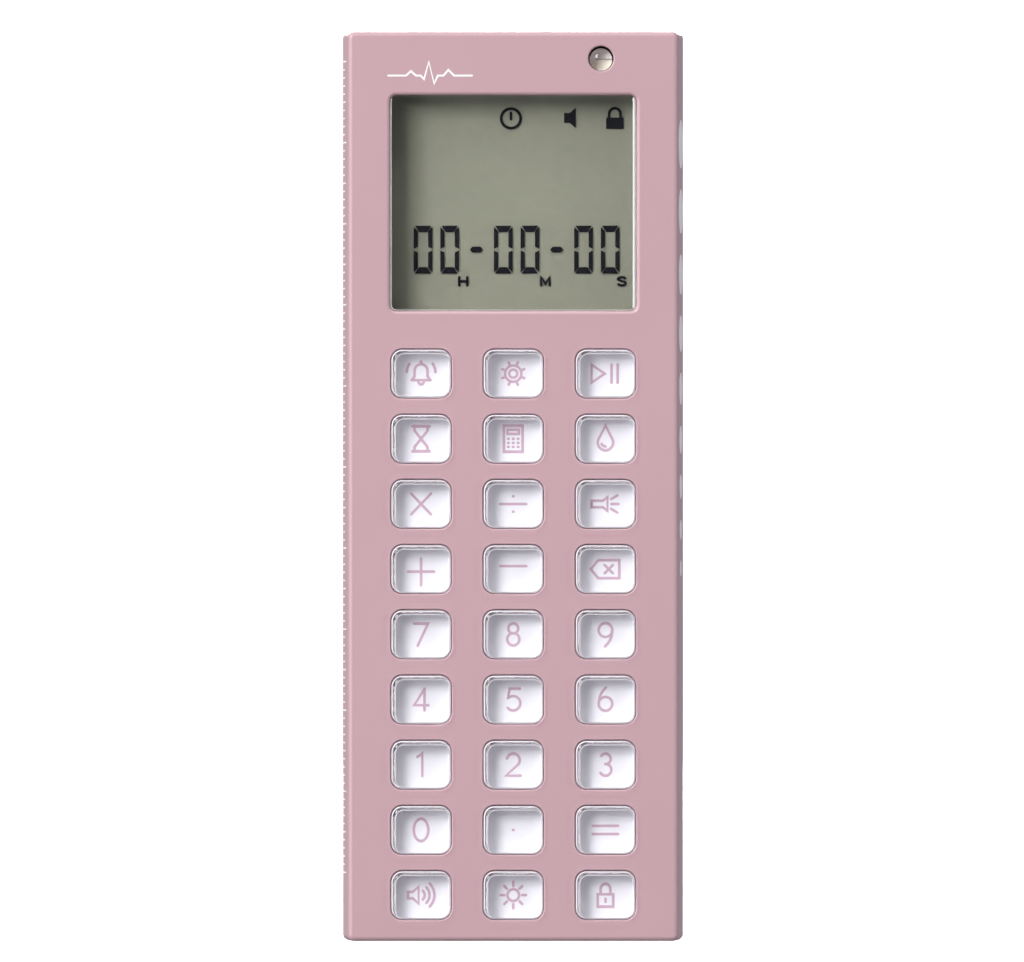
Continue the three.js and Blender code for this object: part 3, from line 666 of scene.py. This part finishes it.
def rear_shell():
    """The rear case, with its lip, screw tubes, battery bay and buzzer chamber."""
    front = PART_LINE + PART_GAP
    rows = [(front, PART_CHAMFER, PART_CHAMFER), (front + PART_CHAMFER, 0, 0)]
    for depth, inset in reversed(quarter(REAR_ROUND, 8)):
        rows.append((BACK - depth, REAR_DRAFT + inset, inset))
    shell = lofted("rear_shell", outer_rings(rows), PINK, smooth=None)
    hollow = several("hollow", [slab(WIDTH - 2 * WALL - 0.6, HEIGHT - 2 * WALL - 0.6, 0.8,
                                     PART_LINE - 1, BACK_PLATE, 0, MID_Z)])
    lip, lip_inside = register_lip()
    lip_ring = combine(several("lip", [lip]), ("DIFFERENCE", several("inside", [lip_inside])))
    inner = PART_LINE + 0.05
    corners = []
    for p in SCREWS:
        out_x = p.x + math.copysign(SCREW_TUBE, p.x)
        out_z = p.z + math.copysign(SCREW_TUBE, p.z - MID_Z)
        corners.append(block(min(p.x, out_x), inner, min(p.z, out_z),
                             max(p.x, out_x), BACK_PLATE + 0.1, max(p.z, out_z)))
    tubes = several("tubes", [disc(SCREW_TUBE, inner, BACK_PLATE + 0.12, p.x, p.z, 40)
                              for p in SCREWS])
    gussets = several("gussets", corners)
    bay = several("bay", [disc(*CELL_BAY, CAP.x, CAP.z)])
    collar = several("collar", [disc(*CELL_COLLAR, CAP.x, CAP.z)])
    buzzer_wall = several("buzzer_wall", [disc(*BUZZER_WALL, BUZZER.x, BUZZER.z)])
    bores = several("bores", [disc(SCREW_BORE, PART_LINE - 1, SCREW_SEAT, p.x, p.z, 24)
                              for p in SCREWS])
    sinks = several("sinks", [chamfered(SCREW_SINK, SCREW_SEAT - 0.1, 0.25, p.x, p.z)
                              for p in SCREWS])
    room = several("post_room", [disc(SCREW_PILLAR + 0.3, PART_LINE - 1.2, inner, p.x, p.z, 32)
                                 for p in SCREWS])
    cell_room = several("cell_room", [disc(*CELL_ROOM, CAP.x, CAP.z, 96)])
    seal_room = several("seal_room", [disc(*SEAL_ROOM, CAP.x, CAP.z, 96)])
    groove = several("groove", [disc(*LUG_GROOVE, CAP.x, CAP.z, 96)])
    mouth = several("mouth", [chamfered(CAP_MOUTH, CAP_MOUTH_FLOOR, 0.18, CAP.x, CAP.z, 96)])
    notches = several("notches", bayonet(NOTCH_WIDTH, NOTCH_REACH, CAP_MOUTH_FLOOR, BACK + 0.2,
                                         NOTCH_TURN))
    slots = several("contact_slots", [
        block(-1.3, 5.5, CAP.z - 8, 1.3, 6.2, CAP.z - 5.6),
        block(9.7, 5.5, CAP.z - 2, 11.7, 8.8, CAP.z + 2),
    ])
    buzzer_room = several("buzzer_room", [disc(*BUZZER_ROOM, BUZZER.x, BUZZER.z, 96)])
    throat = several("throat", [disc(*BUZZER_THROAT, BUZZER.x, BUZZER.z, 96)])
    spots = [(0, 0)] + [(SOUND_RING * math.cos(math.radians(60 * i)),
                         SOUND_RING * math.sin(math.radians(60 * i))) for i in range(6)]
    sound = several("sound", [chamfered(SOUND_RADIUS, BACK_PLATE - 0.2, 0.15,
                                        BUZZER.x + x, BUZZER.z + z, 32) for x, z in spots])
    combine(shell, ("DIFFERENCE", hollow), ("UNION", lip_ring), ("UNION", tubes),
            ("UNION", gussets), ("UNION", bay), ("UNION", collar), ("UNION", buzzer_wall),
            ("DIFFERENCE", room), ("DIFFERENCE", bores), ("DIFFERENCE", sinks),
            ("DIFFERENCE", cell_room), ("DIFFERENCE", seal_room), ("DIFFERENCE", groove),
            ("DIFFERENCE", mouth), ("DIFFERENCE", notches), ("DIFFERENCE", slots),
            ("DIFFERENCE", buzzer_room), ("DIFFERENCE", throat), ("DIFFERENCE", sound))
    tidied(shell)
    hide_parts("rear_case")
    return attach(shell, "handset")


def coin_slot(length, width, floor, x, z, edge=0.2, steps=12):
    """The rings of a cutter for a slot with round ends and a chamfered mouth."""
    rings = []
    for depth, grow in ((floor, 0), (BACK - edge, 0), (BACK, edge), (BACK + 0.3, edge)):
        wide, tall = length + 2 * grow, width + 2 * grow
        rings.append(rounded(wide, tall, tall / 2 - 0.01, depth, x, z, steps))
    return rings


def battery_cap():
    """The coin-slot cap: a plate with a rounded edge, three lugs and a shallow dished ring."""
    edge = 0.25
    rings = [circle(CAP_RADIUS, CAP_FRONT, CAP.x, CAP.z, 128)]
    for depth, inset in reversed(quarter(edge, 4)):
        rings.append(circle(CAP_RADIUS - inset, BACK - depth, CAP.x, CAP.z, 128))
    for radius, depth in ((9.6, BACK), (9.3, BACK - 0.12), (8.9, BACK - 0.16), (0.4, BACK - 0.16)):
        rings.append(circle(radius, depth, CAP.x, CAP.z, 128))
    cap = lofted("battery_door", rings, PINK, smooth=None)
    lugs = several("lugs", bayonet(LUG_WIDTH, LUG_REACH, CAP_FRONT, LUG_BACK, 0))
    slot = several("slot", [coin_slot(12, 1.8, 10.5, CAP.x, CAP.z)])
    combine(cap, ("UNION", lugs), ("DIFFERENCE", slot))
    tidied(cap)
    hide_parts("battery_cap")
    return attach(cap, "battery_cap")


def case_screws():
    """Four cross-head screws, each turned from (radius, depth) pairs."""
    profile = [(0.35, 3.8), (0.7, 4.6), (0.7, SCREW_SEAT), (1.45, SCREW_SEAT), (1.45, 9.9),
               (1.38, 10.05), (1.15, 10.16), (0.7, 10.2)]
    cross_floor, cross_top, cross_long, cross_thick = 9.72, 10.4, 0.92, 0.17
    for i, p in enumerate(SCREWS, 1):
        screw = lofted(f"screw_{i}", [circle(r, d, p.x, p.z, 40) for r, d in profile], STEEL,
                       smooth=None)
        cross = [block(p.x - x, cross_floor, p.z - z, p.x + x, cross_top, p.z + z)
                 for x, z in ((cross_long, cross_thick), (cross_thick, cross_long))]
        combine(screw, *(("DIFFERENCE", several("bar", [bar])) for bar in cross))
        tidied(screw, 35)
        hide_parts(f"case_screw_{i}")
        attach(screw, "handset")


# ---- Keys ------------------------------------------------------------------------------
def key_cap(body, x, z):
    """A clear cap with a crowned top and a rim band painted near-white as its edge highlight, over
    a pearl base with a raised rim, a flange painted dark mauve as the shade in the gap round the
    key, and a stem."""
    def ring(inset, depth, shift=0.0):
        inset += KEY_INSET
        return rounded(KEY_WIDTH - 2 * inset, KEY_HEIGHT - 2 * inset,
                       max(KEY_CORNER - inset, 0.12), depth, x + shift, z - shift, 12)

    side, brow, crest = 0.66, 0.09, 1.8
    rim_highlight_from, rim_highlight_to = 0.05, 0.18
    crown = [crest - (crest - SHOULDER) * i / 6 for i in range(6)]
    rows = [(inset, KEY_TOP + brow * ((crest - inset) / (crest - SHOULDER)) ** 2)
            for inset in crown]
    for angle in (90, 80, 72, 64, 56, 48, 40, 30, 20, 0):
        c, s = math.cos(math.radians(angle)), math.sin(math.radians(angle))
        rows.append((SHOULDER * (1 - c), KEY_TOP + side - (side - brow) * s))
    rows.append((0.0, KEY_BASE + 0.15))
    # Slot 1 paints this rim band near-white as the cap's edge highlight.
    slots = [1 if rim_highlight_from < inset < rim_highlight_to else 0 for inset, _ in rows[:-1]]
    cap = lofted(f"{body}_cap", [ring(*row) for row in rows], ACRYLIC, KEY_RIM_PAINTED_HIGHLIGHT, slots=slots,
                 smooth=50)
    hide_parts(body)
    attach(cap, body)

    edge = 0.08
    out = KEY_FLANGE
    # The flange faces (slot 1) take the dark mauve painted shade that is seen through the gap.
    base = lofted(f"{body}_base", [
        ring(RIB + 0.07, KEY_BASE, RIB_SHIFT), ring(RIB + 0.06, RIB_TOP, RIB_SHIFT),
        ring(RIB, RIB_TOP, RIB_SHIFT), ring(RIB, KEY_BASE + 0.1, RIB_SHIFT),
        ring(-out + edge, KEY_BASE + 0.1), ring(-out, KEY_BASE + 0.1 + edge),
        ring(-out, KEY_BASE_BACK),
    ], PEARL, KEY_GAP_PAINTED_SHADE, slots=[0, 0, 0, 1, 1, 1], smooth=35)
    stem = several("stem", [slab(STEM_WIDTH, STEM_HEIGHT, 0.3, KEY_BASE_BACK - 0.2, KEY_TIP,
                                 x, z, 4)])
    combine(base, ("UNION", stem))
    tidied(base, 35)
    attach(base, body)


def polygon(*points):
    return [*points, points[0]]


def ring_line(x, z, radius, squeeze=1.0):
    return arc(x, z, radius, 0, 360, 32, squeeze)


def rays(x, z, near, far, count, start=0.0):
    """Short lines that point away from a centre."""
    lines = []
    for i in range(count):
        a = math.radians(start + 360 * i / count)
        lines.append([(x + r * math.cos(a), z + r * math.sin(a)) for r in (near, far)])
    return lines


def dot(x, z, radius=0.03):
    """A line so short that its round ends make a dot."""
    return [(x - radius, z), (x + radius, z)]


def glyphs():
    """Line drawings for the key legends: {body: [line, ...]}, in millimetres from the middle."""
    six = [ring_line(0, -0.52, 0.84), arc(1.4, -0.3, 2.2, 175, 128)]
    return {
        "key_0": [ring_line(0, 0, 1.36, 0.66)],
        "key_1": [[(-0.45, 0.95), (0.15, 1.36), (0.15, -1.36)]],
        "key_2": [arc(0, 0.55, 0.8, 165, -38) + [(-0.88, -1.33), (0.9, -1.33)]],
        "key_3": [arc(0, 0.7, 0.64, 145, -90), arc(0, -0.62, 0.72, 90, -148)],
        "key_4": [[(0.42, -1.3), (0.42, 1.3)], [(0.42, 1.3), (-0.85, -0.7), (0.9, -0.7)]],
        "key_5": [[(0.8, 1.32), (-0.45, 1.32), (-0.66, 0.2)] + arc(-0.02, -0.45, 0.88, 128, -140)],
        "key_6": six,
        "key_7": [[(-0.85, 1.3), (0.85, 1.3), (-0.4, -1.36)]],
        "key_8": [ring_line(0, 0.72, 0.61), ring_line(0, -0.6, 0.75)],
        "key_9": [[(-u, -v) for u, v in line] for line in six],
        "key_point": [dot(0, 0)],
        "key_equals": [[(-1.55, v), (1.55, v)] for v in (0.5, -0.5)],
        "key_plus": [[(-1.6, -0.3), (1.6, -0.3)], [(0, -1.9), (0, 1.3)]],
        "key_minus": [[(-1.6, 0.38), (1.6, 0.38)]],
        "key_multiply": [[(-1.2, -1.25), (1.2, 1.25)], [(-1.2, 1.25), (1.2, -1.25)]],
        "key_divide": [[(-1.6, 0), (1.6, 0)], dot(0, 0.95), dot(0, -0.95)],
        "key_alarm": [
            [(-1.15, -0.8), (-0.8, -0.35), *arc(0, 0.35, 0.8, 180, 0), (0.8, -0.35),
             (1.15, -0.8)],
            [(-1.15, -0.8), (1.15, -0.8)], arc(0, -0.95, 0.35, 200, 340), [(0, 1.15), (0, 1.45)],
            arc(0, 0.2, 1.75, 145, 180), arc(0, 0.2, 1.75, 35, 0),
        ],
        "key_set": [ring_line(0, 0, 0.5), ring_line(0, 0, 1.0), *rays(0, 0, 1.05, 1.45, 8, 22.5)],
        "key_start_stop": [
            polygon((-1.7, 1.1), (-1.7, -1.1), (-0.1, 0)), [(0.75, 1.1), (0.75, -1.1)],
            [(1.5, 1.1), (1.5, -1.1)],
        ],
        "key_timer": [
            [(-1.05, 1.5), (1.05, 1.5)], [(-1.05, -1.5), (1.05, -1.5)],
            [(-0.8, 1.5), (-0.8, 1.0), (0.8, -1.0), (0.8, -1.5)],
            [(0.8, 1.5), (0.8, 1.0), (-0.8, -1.0), (-0.8, -1.5)],
        ],
        "key_calculator": [
            polygon((-1.15, 1.55), (1.15, 1.55), (1.15, -1.55), (-1.15, -1.55)),
            polygon((-0.7, 1.1), (0.7, 1.1), (0.7, 0.6), (-0.7, 0.6)),
            *[dot(u, v) for u in (-0.6, 0, 0.6) for v in (0.0, -0.5, -1.0)],
        ],
        "key_drip": [
            [(0, 1.6)] + arc(0, -0.45, 0.95, 150, 390) + [(0, 1.6)], arc(0, -0.45, 0.5, 200, 270),
        ],
        "key_torch": [
            polygon((-1.7, 0.4), (-0.3, 0.4), (0.25, 0.85), (0.25, -0.85), (-0.3, -0.4),
                    (-1.7, -0.4)),
            [(0.75, 0), (1.6, 0)], [(0.7, 0.6), (1.45, 1.05)], [(0.7, -0.6), (1.45, -1.05)],
        ],
        "key_clear": [
            polygon((-1.8, 0), (-0.9, 1.1), (1.7, 1.1), (1.7, -1.1), (-0.9, -1.1)),
            [(-0.1, 0.5), (0.9, -0.5)], [(-0.1, -0.5), (0.9, 0.5)],
        ],
        "key_volume": [
            polygon((-1.6, 0.4), (-1.0, 0.4), (-0.3, 1.05), (-0.3, -1.05), (-1.0, -0.4),
                    (-1.6, -0.4)),
            arc(-0.3, 0, 0.75, -45, 45), arc(-0.3, 0, 1.35, -45, 45), arc(-0.3, 0, 1.95, -45, 45),
        ],
        "key_backlight": [ring_line(0, 0, 0.72), *rays(0, 0, 1.1, 1.55, 8)],
        "key_lock": [
            polygon((-0.95, 0.1), (0.95, 0.1), (0.95, -1.4), (-0.95, -1.4)),
            [(-0.6, 0.1), (-0.6, 0.7)] + arc(0, 0.75, 0.6, 180, 0) + [(0.6, 0.7), (0.6, 0.1)],
            [(0, -0.45), (0, -0.85)],
        ],
    }


def key_legend(body, lines, x, z):
    """Thin printed lines on the base, inside the clear cap. Each lies a hair over the last, so
    that no two faces share a plane where lines cross."""
    bm = bmesh.new()
    for i, line in enumerate(lines):
        lift = 0.012 + 0.002 * i
        ribbon(bm, line, LEGEND_STROKE, lambda u, v, h: at(x + u, KEY_BASE - h, z + v), -0.01, lift)
    legend = piece(f"{body}_legend", bm, LEGEND, smooth=None)
    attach(legend, body)


def keys():
    drawings = glyphs()
    for body in KEY_BODIES:
        place = centre_mm(body)
        key_cap(body, place.x, place.z)
        key_legend(body, drawings[body], place.x, place.z)


# ---- Window and display ----------------------------------------------------------------
def window_lens():
    """The clear window. Its bevel is painted as a highlight, with rough white faces that stand in
    for the light the clear edge catches: at the right, and in its deeper half at the left and the
    bottom."""
    def ring(inset, depth):
        inset += LENS_SHOWN_GAP
        return rounded(WINDOW_WIDTH - 2 * inset, WINDOW_HEIGHT - 2 * inset,
                       max(WINDOW_CORNER - inset, 0.1), depth, 0, WINDOW_Z, 8)

    land = 0.2
    rows = [(LENS_BEVEL + land, LENS_TOP), (LENS_BEVEL, LENS_TOP + 0.01),
            (LENS_BEVEL / 2, LENS_TOP + LENS_BEVEL / 2), (0.0, LENS_TOP + LENS_BEVEL),
            (0.0, LENS_STEP), (LENS_GAP - LENS_SHOWN_GAP - LENS_FLANGE, LENS_STEP),
            (LENS_GAP - LENS_SHOWN_GAP - LENS_FLANGE, LENS_BACK)]
    lens = lofted("window_pane", [ring(*row) for row in rows], LENS, LENS_PAINTED_EDGE_HIGHLIGHT, smooth=30)
    # Bevel faces that get the painted edge highlight, widest at the right and left off along the
    # top.
    edge = WINDOW_WIDTH / 2 - LENS_SHOWN_GAP
    for face in lens.data.polygons:
        x, depth = face.center.x / MM, face.center.y / MM - FRONT_Y
        on_rim = LENS_TOP + 0.002 < depth < LENS_TOP + LENS_BEVEL
        painted_highlight_width = LENS_BEVEL + land if x > 0 else LENS_BEVEL / 2
        at_top = face.center.z / MM - WINDOW_Z > WINDOW_HEIGHT / 2 - 2 * LENS_BEVEL
        beside = edge - abs(x) < painted_highlight_width
        if on_rim and (beside or depth > LENS_TOP + LENS_BEVEL / 2 and not at_top):
            face.material_index = 1
    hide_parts("window_lens")
    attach(lens, "handset")


LCD_LOW, LCD_HIGH = box_mm("lcd_glass")
LCD_FRONT = LCD_LOW.y - FRONT_Y
LCD_BACK = LCD_HIGH.y - FRONT_Y
LCD_SEAM = 3.4


def lcd_panel():
    """Two clear panes with the ink between them, over a grey-green reflector."""
    wide, tall = LCD_HIGH.x - LCD_LOW.x, LCD_HIGH.z - LCD_LOW.z
    middle = (LCD_HIGH.z + LCD_LOW.z) / 2
    pane = lofted("lcd_panes", slab(wide, tall, 0.4, LCD_FRONT, LCD_SEAM + 0.1, 0, middle, 6),
                  LCD_GLASS, smooth=30)
    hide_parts("lcd_glass")
    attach(pane, "handset")
    ground = lofted("lcd_reflector", slab(wide - 0.2, tall - 0.2, 0.4, LCD_SEAM + 0.12,
                                          LCD_BACK, 0, middle, 6), LCD_GROUND, smooth=30)
    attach(ground, "handset")


DIGIT_WIDTH = 2.3
DIGIT_HEIGHT = 5.9
DIGIT_STROKE = 0.52
DIGIT_GAP = 0.14
DIGIT_PITCH = 3.28
GROUP_PITCH = 9.88
DIGITS_X = -9.46
DIGITS_Z = -5.7
BAR_ACROSS = 0.8
DASH = (0.82, 0.5, 0.37)
LETTERS = {"h": 3.31, "m": 3.54, "s": 3.07}
LETTERS_Z = DIGITS_Z - 3.9
LETTER_STROKE = 0.32
ICONS_Z = 10.45
CLOCK_X = -0.27
CLOCK_RADIUS = 1.2
CLOCK_STROKE = 0.36
SPEAKER_X = 6.27
LOCK_X = 12.53
SHACKLE_RADIUS = 0.7
SHACKLE_STROKE = 0.34


def segments(x, z):
    """Outlines of the six lit bars of a seven-segment zero, with slanted ends."""
    w, h, s, g = DIGIT_WIDTH / 2, DIGIT_HEIGHT / 2, DIGIT_STROKE, DIGIT_GAP
    mid_gap, mid_cut = s / 2 * 0.4, s / 2 * 0.9

    def bar_across(v, inner):
        return [(-w + g, v), (w - g, v), (w - s - g, v + inner * BAR_ACROSS),
                (-w + s + g, v + inner * BAR_ACROSS)]

    def bar_up(u, inner, low, high, low_cut, high_cut):
        far = u + inner * s
        return [(u, low), (far, low + low_cut), (far, high - high_cut), (u, high)]

    def upper(u, inner):
        return bar_up(u, inner, mid_gap, h - g, mid_cut, s)

    def lower(u, inner):
        return bar_up(u, inner, -h + g, -mid_gap, s, mid_cut)

    bars = (bar_across(h, -1), upper(w, -1), lower(w, -1), bar_across(-h, 1), lower(-w, 1),
            upper(-w, 1))
    return [[(x + u, z + v) for u, v in bar] for bar in bars]


def lcd_ink():
    """The zeros, dashes, unit letters and icons, between the two panes."""
    def on_seam(u, v, h):
        return at(u, LCD_SEAM - h, WINDOW_Z + v)

    bm = bmesh.new()
    fills = []
    lines = []
    for group in range(3):
        x = DIGITS_X + GROUP_PITCH * group
        for side in (-0.5, 0.5):
            fills += segments(x + side * DIGIT_PITCH, DIGITS_Z)
        if group < 2:
            dash = x + GROUP_PITCH / 2
            half, blunt, high = DASH
            fills.append([(dash + u, DIGITS_Z + v) for u, v in (
                (-half, 0), (-blunt, high), (blunt, high), (half, 0), (blunt, -high),
                (-blunt, -high))])
    letters = {
        "h": [[(-0.49, -0.5), (-0.49, 0.5)], [(0.49, -0.5), (0.49, 0.5)], [(-0.49, 0), (0.49, 0)]],
        "m": [[(-0.53, -0.5), (-0.53, 0.5), (0, -0.3), (0.53, 0.5), (0.53, -0.5)]],
        "s": [arc(0.0, 0.25, 0.25, 30, 180, 8, 1.9) + arc(0, -0.25, 0.25, 90, -150, 10, 1.9)],
    }
    for i, (name, offset) in enumerate(LETTERS.items()):
        x = DIGITS_X + GROUP_PITCH * i + offset
        for line in letters[name]:
            lines.append(([(x + u, LETTERS_Z + v) for u, v in line], LETTER_STROKE))
    lines.append((ring_line(CLOCK_X, ICONS_Z, CLOCK_RADIUS), CLOCK_STROKE))
    lines.append(([(CLOCK_X, ICONS_Z - 0.1), (CLOCK_X, ICONS_Z + 0.7)], LETTER_STROKE))
    fills.append([(SPEAKER_X + u, ICONS_Z + 0.05 + v) for u, v in (
        (0, -0.62), (0, 0.62), (0.72, 0.62), (1.46, 1.28), (1.46, -1.28), (0.72, -0.62))])
    fills.append([(LOCK_X + u, ICONS_Z + v) for u, v in (
        (-1.08, -1.3), (1.08, -1.3), (1.08, 0.1), (-1.08, 0.1))])
    shackle = arc(LOCK_X, ICONS_Z + 0.55, SHACKLE_RADIUS, 180, 0)
    lines.append(([(LOCK_X - SHACKLE_RADIUS, ICONS_Z), *shackle,
                   (LOCK_X + SHACKLE_RADIUS, ICONS_Z)], SHACKLE_STROKE))
    for outline in fills:
        plate(bm, outline, on_seam, -0.01, 0.01)
    for line, width in lines:
        ribbon(bm, line, width, on_seam, -0.012, 0.012)
    ink = piece("lcd_ink", bm, LCD_INK, smooth=None)
    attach(ink, "handset")


# ---- Torch -----------------------------------------------------------------------------
def torch():
    """A clear domed LED with its reflector cup, phosphor and legs. The dome sits a little low
    in its hole."""
    def ring(radius, depth):
        return circle(radius, depth, TORCH.x, TORCH.z - TORCH_DROP, 64)

    dome = []
    for angle in range(3, 91, 6):
        c, s = math.cos(math.radians(angle)), math.sin(math.radians(angle))
        dome.append((TORCH_DOME * s, TORCH_TIP + TORCH_CROWN * (1 - c)))
    rows = dome + [(TORCH_DOME, TORCH_SEAT - 0.7), (TORCH_RIM, TORCH_SEAT - 0.65),
                   (TORCH_RIM, TORCH_SEAT)]
    body = lofted("torch_dome", [ring(*row) for row in rows], EPOXY, smooth=40)
    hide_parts("torch_led")
    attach(body, "handset")
    cup_rows = ((0.4, 2.5), (0.85, 2.45), (1.3, 1.62), (1.35, 1.62), (1.35, 2.7), (0.4, 2.7))
    cup = lofted("torch_cup", [ring(*row) for row in cup_rows], SILVER, smooth=35)
    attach(cup, "handset")
    half_disc = arc(0, 0, 1.0, 0, 180, 16)
    split, thick = 0.03, 0.3
    for name, side, front, made in (("torch_anvil", 1, 1.75, SILVER),
                                    ("torch_phosphor", -1, 1.85, PHOSPHOR)):
        def on_cup(u, v, depth):
            return at(TORCH.x + u, depth, TORCH.z - TORCH_DROP + side * (v + split))

        bm = bmesh.new()
        plate(bm, half_disc, on_cup, front, front + thick)
        chip = piece(name, bm, made, smooth=35)
        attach(chip, "handset")
    legs = several("torch_legs", [
        slab(0.5, 0.5, 0.08, TORCH_SEAT - 1.6, box_mm("torch_led")[1].y - FRONT_Y,
             TORCH.x + side * 1.27, TORCH.z, 3) for side in (-1, 1)], STEEL)
    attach(legs, "handset")


# ---- Prints ----------------------------------------------------------------------------
PRINT_LAYER = (-0.01, 0.02)
RULER_LOW = 8.4
TICK_WIDTH = 0.2
TICK_BACK = PART_LINE - 0.45
TICK_LENGTH, TICK_FIFTH, TICK_TENTH = 2.0, 2.8, 3.6
GAUGE_TOP = 98.2
GAUGE_DEPTH = 3.75
GAUGE_GAP = 2.54
PULSE_Z = HEIGHT - 5.4
PULSE_STROKE = 0.24


def wall_point(side, depth, z, height):
    """A point above a side wall: side is -1 or 1, and height is measured off the wall."""
    return at(side * (WIDTH / 2 - side_inset(depth) + height), depth, z)


def ruler():
    """White ticks on the left wall for 100 millimetres, longer every 5 and 10."""
    bm = bmesh.new()
    for i in range(101):
        length = TICK_TENTH if i % 10 == 0 else TICK_FIFTH if i % 5 == 0 else TICK_LENGTH
        line = [(TICK_BACK - length, RULER_LOW + i), (TICK_BACK, RULER_LOW + i)]
        ribbon(bm, line, TICK_WIDTH, lambda d, z, h: wall_point(-1, d, z, h), *PRINT_LAYER, 2)
    ticks = piece("ruler_ticks", bm, PRINT, smooth=None)
    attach(ticks, "handset")


def gauge():
    """White comparison discs on the right wall, 6.0 mm down to 2.0 mm in half millimetres."""
    bm = bmesh.new()
    z = GAUGE_TOP
    for radius in (3 - 0.25 * i for i in range(9)):
        outline = []
        for degree in range(0, 360, 6):
            a = math.radians(degree)
            outline.append((GAUGE_DEPTH + radius * math.cos(a), z + radius * math.sin(a)))
        plate(bm, outline, lambda d, v, h: wall_point(1, d, v, h), *PRINT_LAYER)
        z -= 2 * radius - 0.25 + GAUGE_GAP
    discs = piece("gauge_discs", bm, PRINT, smooth=None)
    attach(discs, "handset")


def pulse_line():
    """A white heartbeat line over the window."""
    shape = [(-15.4, 0), (-13.2, 0), (-12.6, 0.55), (-12.0, 0), (-11.4, 0), (-11.0, -0.45),
             (-10.4, 1.7), (-9.75, -1.0), (-9.3, 0), (-8.6, 0), (-8.0, 0.7), (-7.3, 0), (-5.1, 0)]
    line = [(x, PULSE_Z + rise) for x, rise in shape]
    bm = bmesh.new()
    ribbon(bm, line, PULSE_STROKE, lambda u, v, h: at(u, -h, v), *PRINT_LAYER)
    mark = piece("pulse_line", bm, PRINT, smooth=None)
    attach(mark, "handset")


# ---- CAD parts that stay in view or inside ------------------------------------------------
def dress(names, made):
    """Gives CAD nodes a material on their own slots."""
    for name in names:
        obj = frame["nodes"][name]
        if not obj.material_slots:
            obj.data.materials.append(made)
        for slot in obj.material_slots:
            slot.material = made


def inner_parts():
    """Materials for the CAD nodes inside, in the groups that share one."""
    dress(["window_gasket", "motor_boot", "battery_seal", "zebra_strip"],
          finish("dark_rubber", (0.020, 0.020, 0.023), 0.75, tint=0.2, patch=700, grain=6000,
                 bump=0.2))
    dress(["keypad_mat"],
          finish("silicone", (0.72, 0.70, 0.74), 0.6, tint=0.03, grain=3000, bump=0.1,
                 Subsurface_Weight=0.05))
    dress(["lcd_frame", "backlight_panel"],
          finish("white_plastic", (0.74, 0.74, 0.72), 0.45, tint=0.02))
    dress(["backlight_led"],
          finish("warm_phosphor", (0.80, 0.74, 0.38), 0.4, tint=0.08, patch=3000))
    dress(["main_board"],
          finish("solder_mask", (0.012, 0.13, 0.06), 0.35, tint=0.25, patch=900, grain=5000,
                 bump=0.15, Coat_Weight=0.4))
    dress(["controller_chip"],
          finish("epoxy_blob", (0.010, 0.010, 0.011), 0.25, tint=0.2, patch=400))
    dress(["clock_crystal", "coin_cell", "vibration_motor", "motor_weight"],
          finish("turned_steel", (0.58, 0.59, 0.60), 0.3, metal=1.0, tint=0.05, patch=900,
                 grain=7000, bump=0.12, spread=0.1, stretch=(1, 1, 6)))
    dress(["positive_contact", "negative_contact"],
          finish("gold_flash", (0.83, 0.62, 0.25), 0.25, metal=1.0, tint=0.05, patch=900))
    dress(["buzzer_disc"],
          finish("brass", (0.72, 0.50, 0.18), 0.3, metal=1.0, tint=0.08, patch=500))
    dress(["buzzer_ceramic"],
          finish("ceramic", (0.80, 0.77, 0.69), 0.5, tint=0.04, patch=1200, bump=0.1))
    dress(["motor_lead_1", "buzzer_lead_1"],
          finish("lead_red", (0.42, 0.03, 0.02), 0.5, tint=0.1))
    dress(["motor_lead_2", "buzzer_lead_2"],
          finish("lead_black", (0.015, 0.015, 0.017), 0.5, tint=0.2))


front_shell()
rear_shell()
battery_cap()
case_screws()
keys()
window_lens()
lcd_panel()
lcd_ink()
torch()
ruler()
gauge()
pulse_line()
inner_parts()
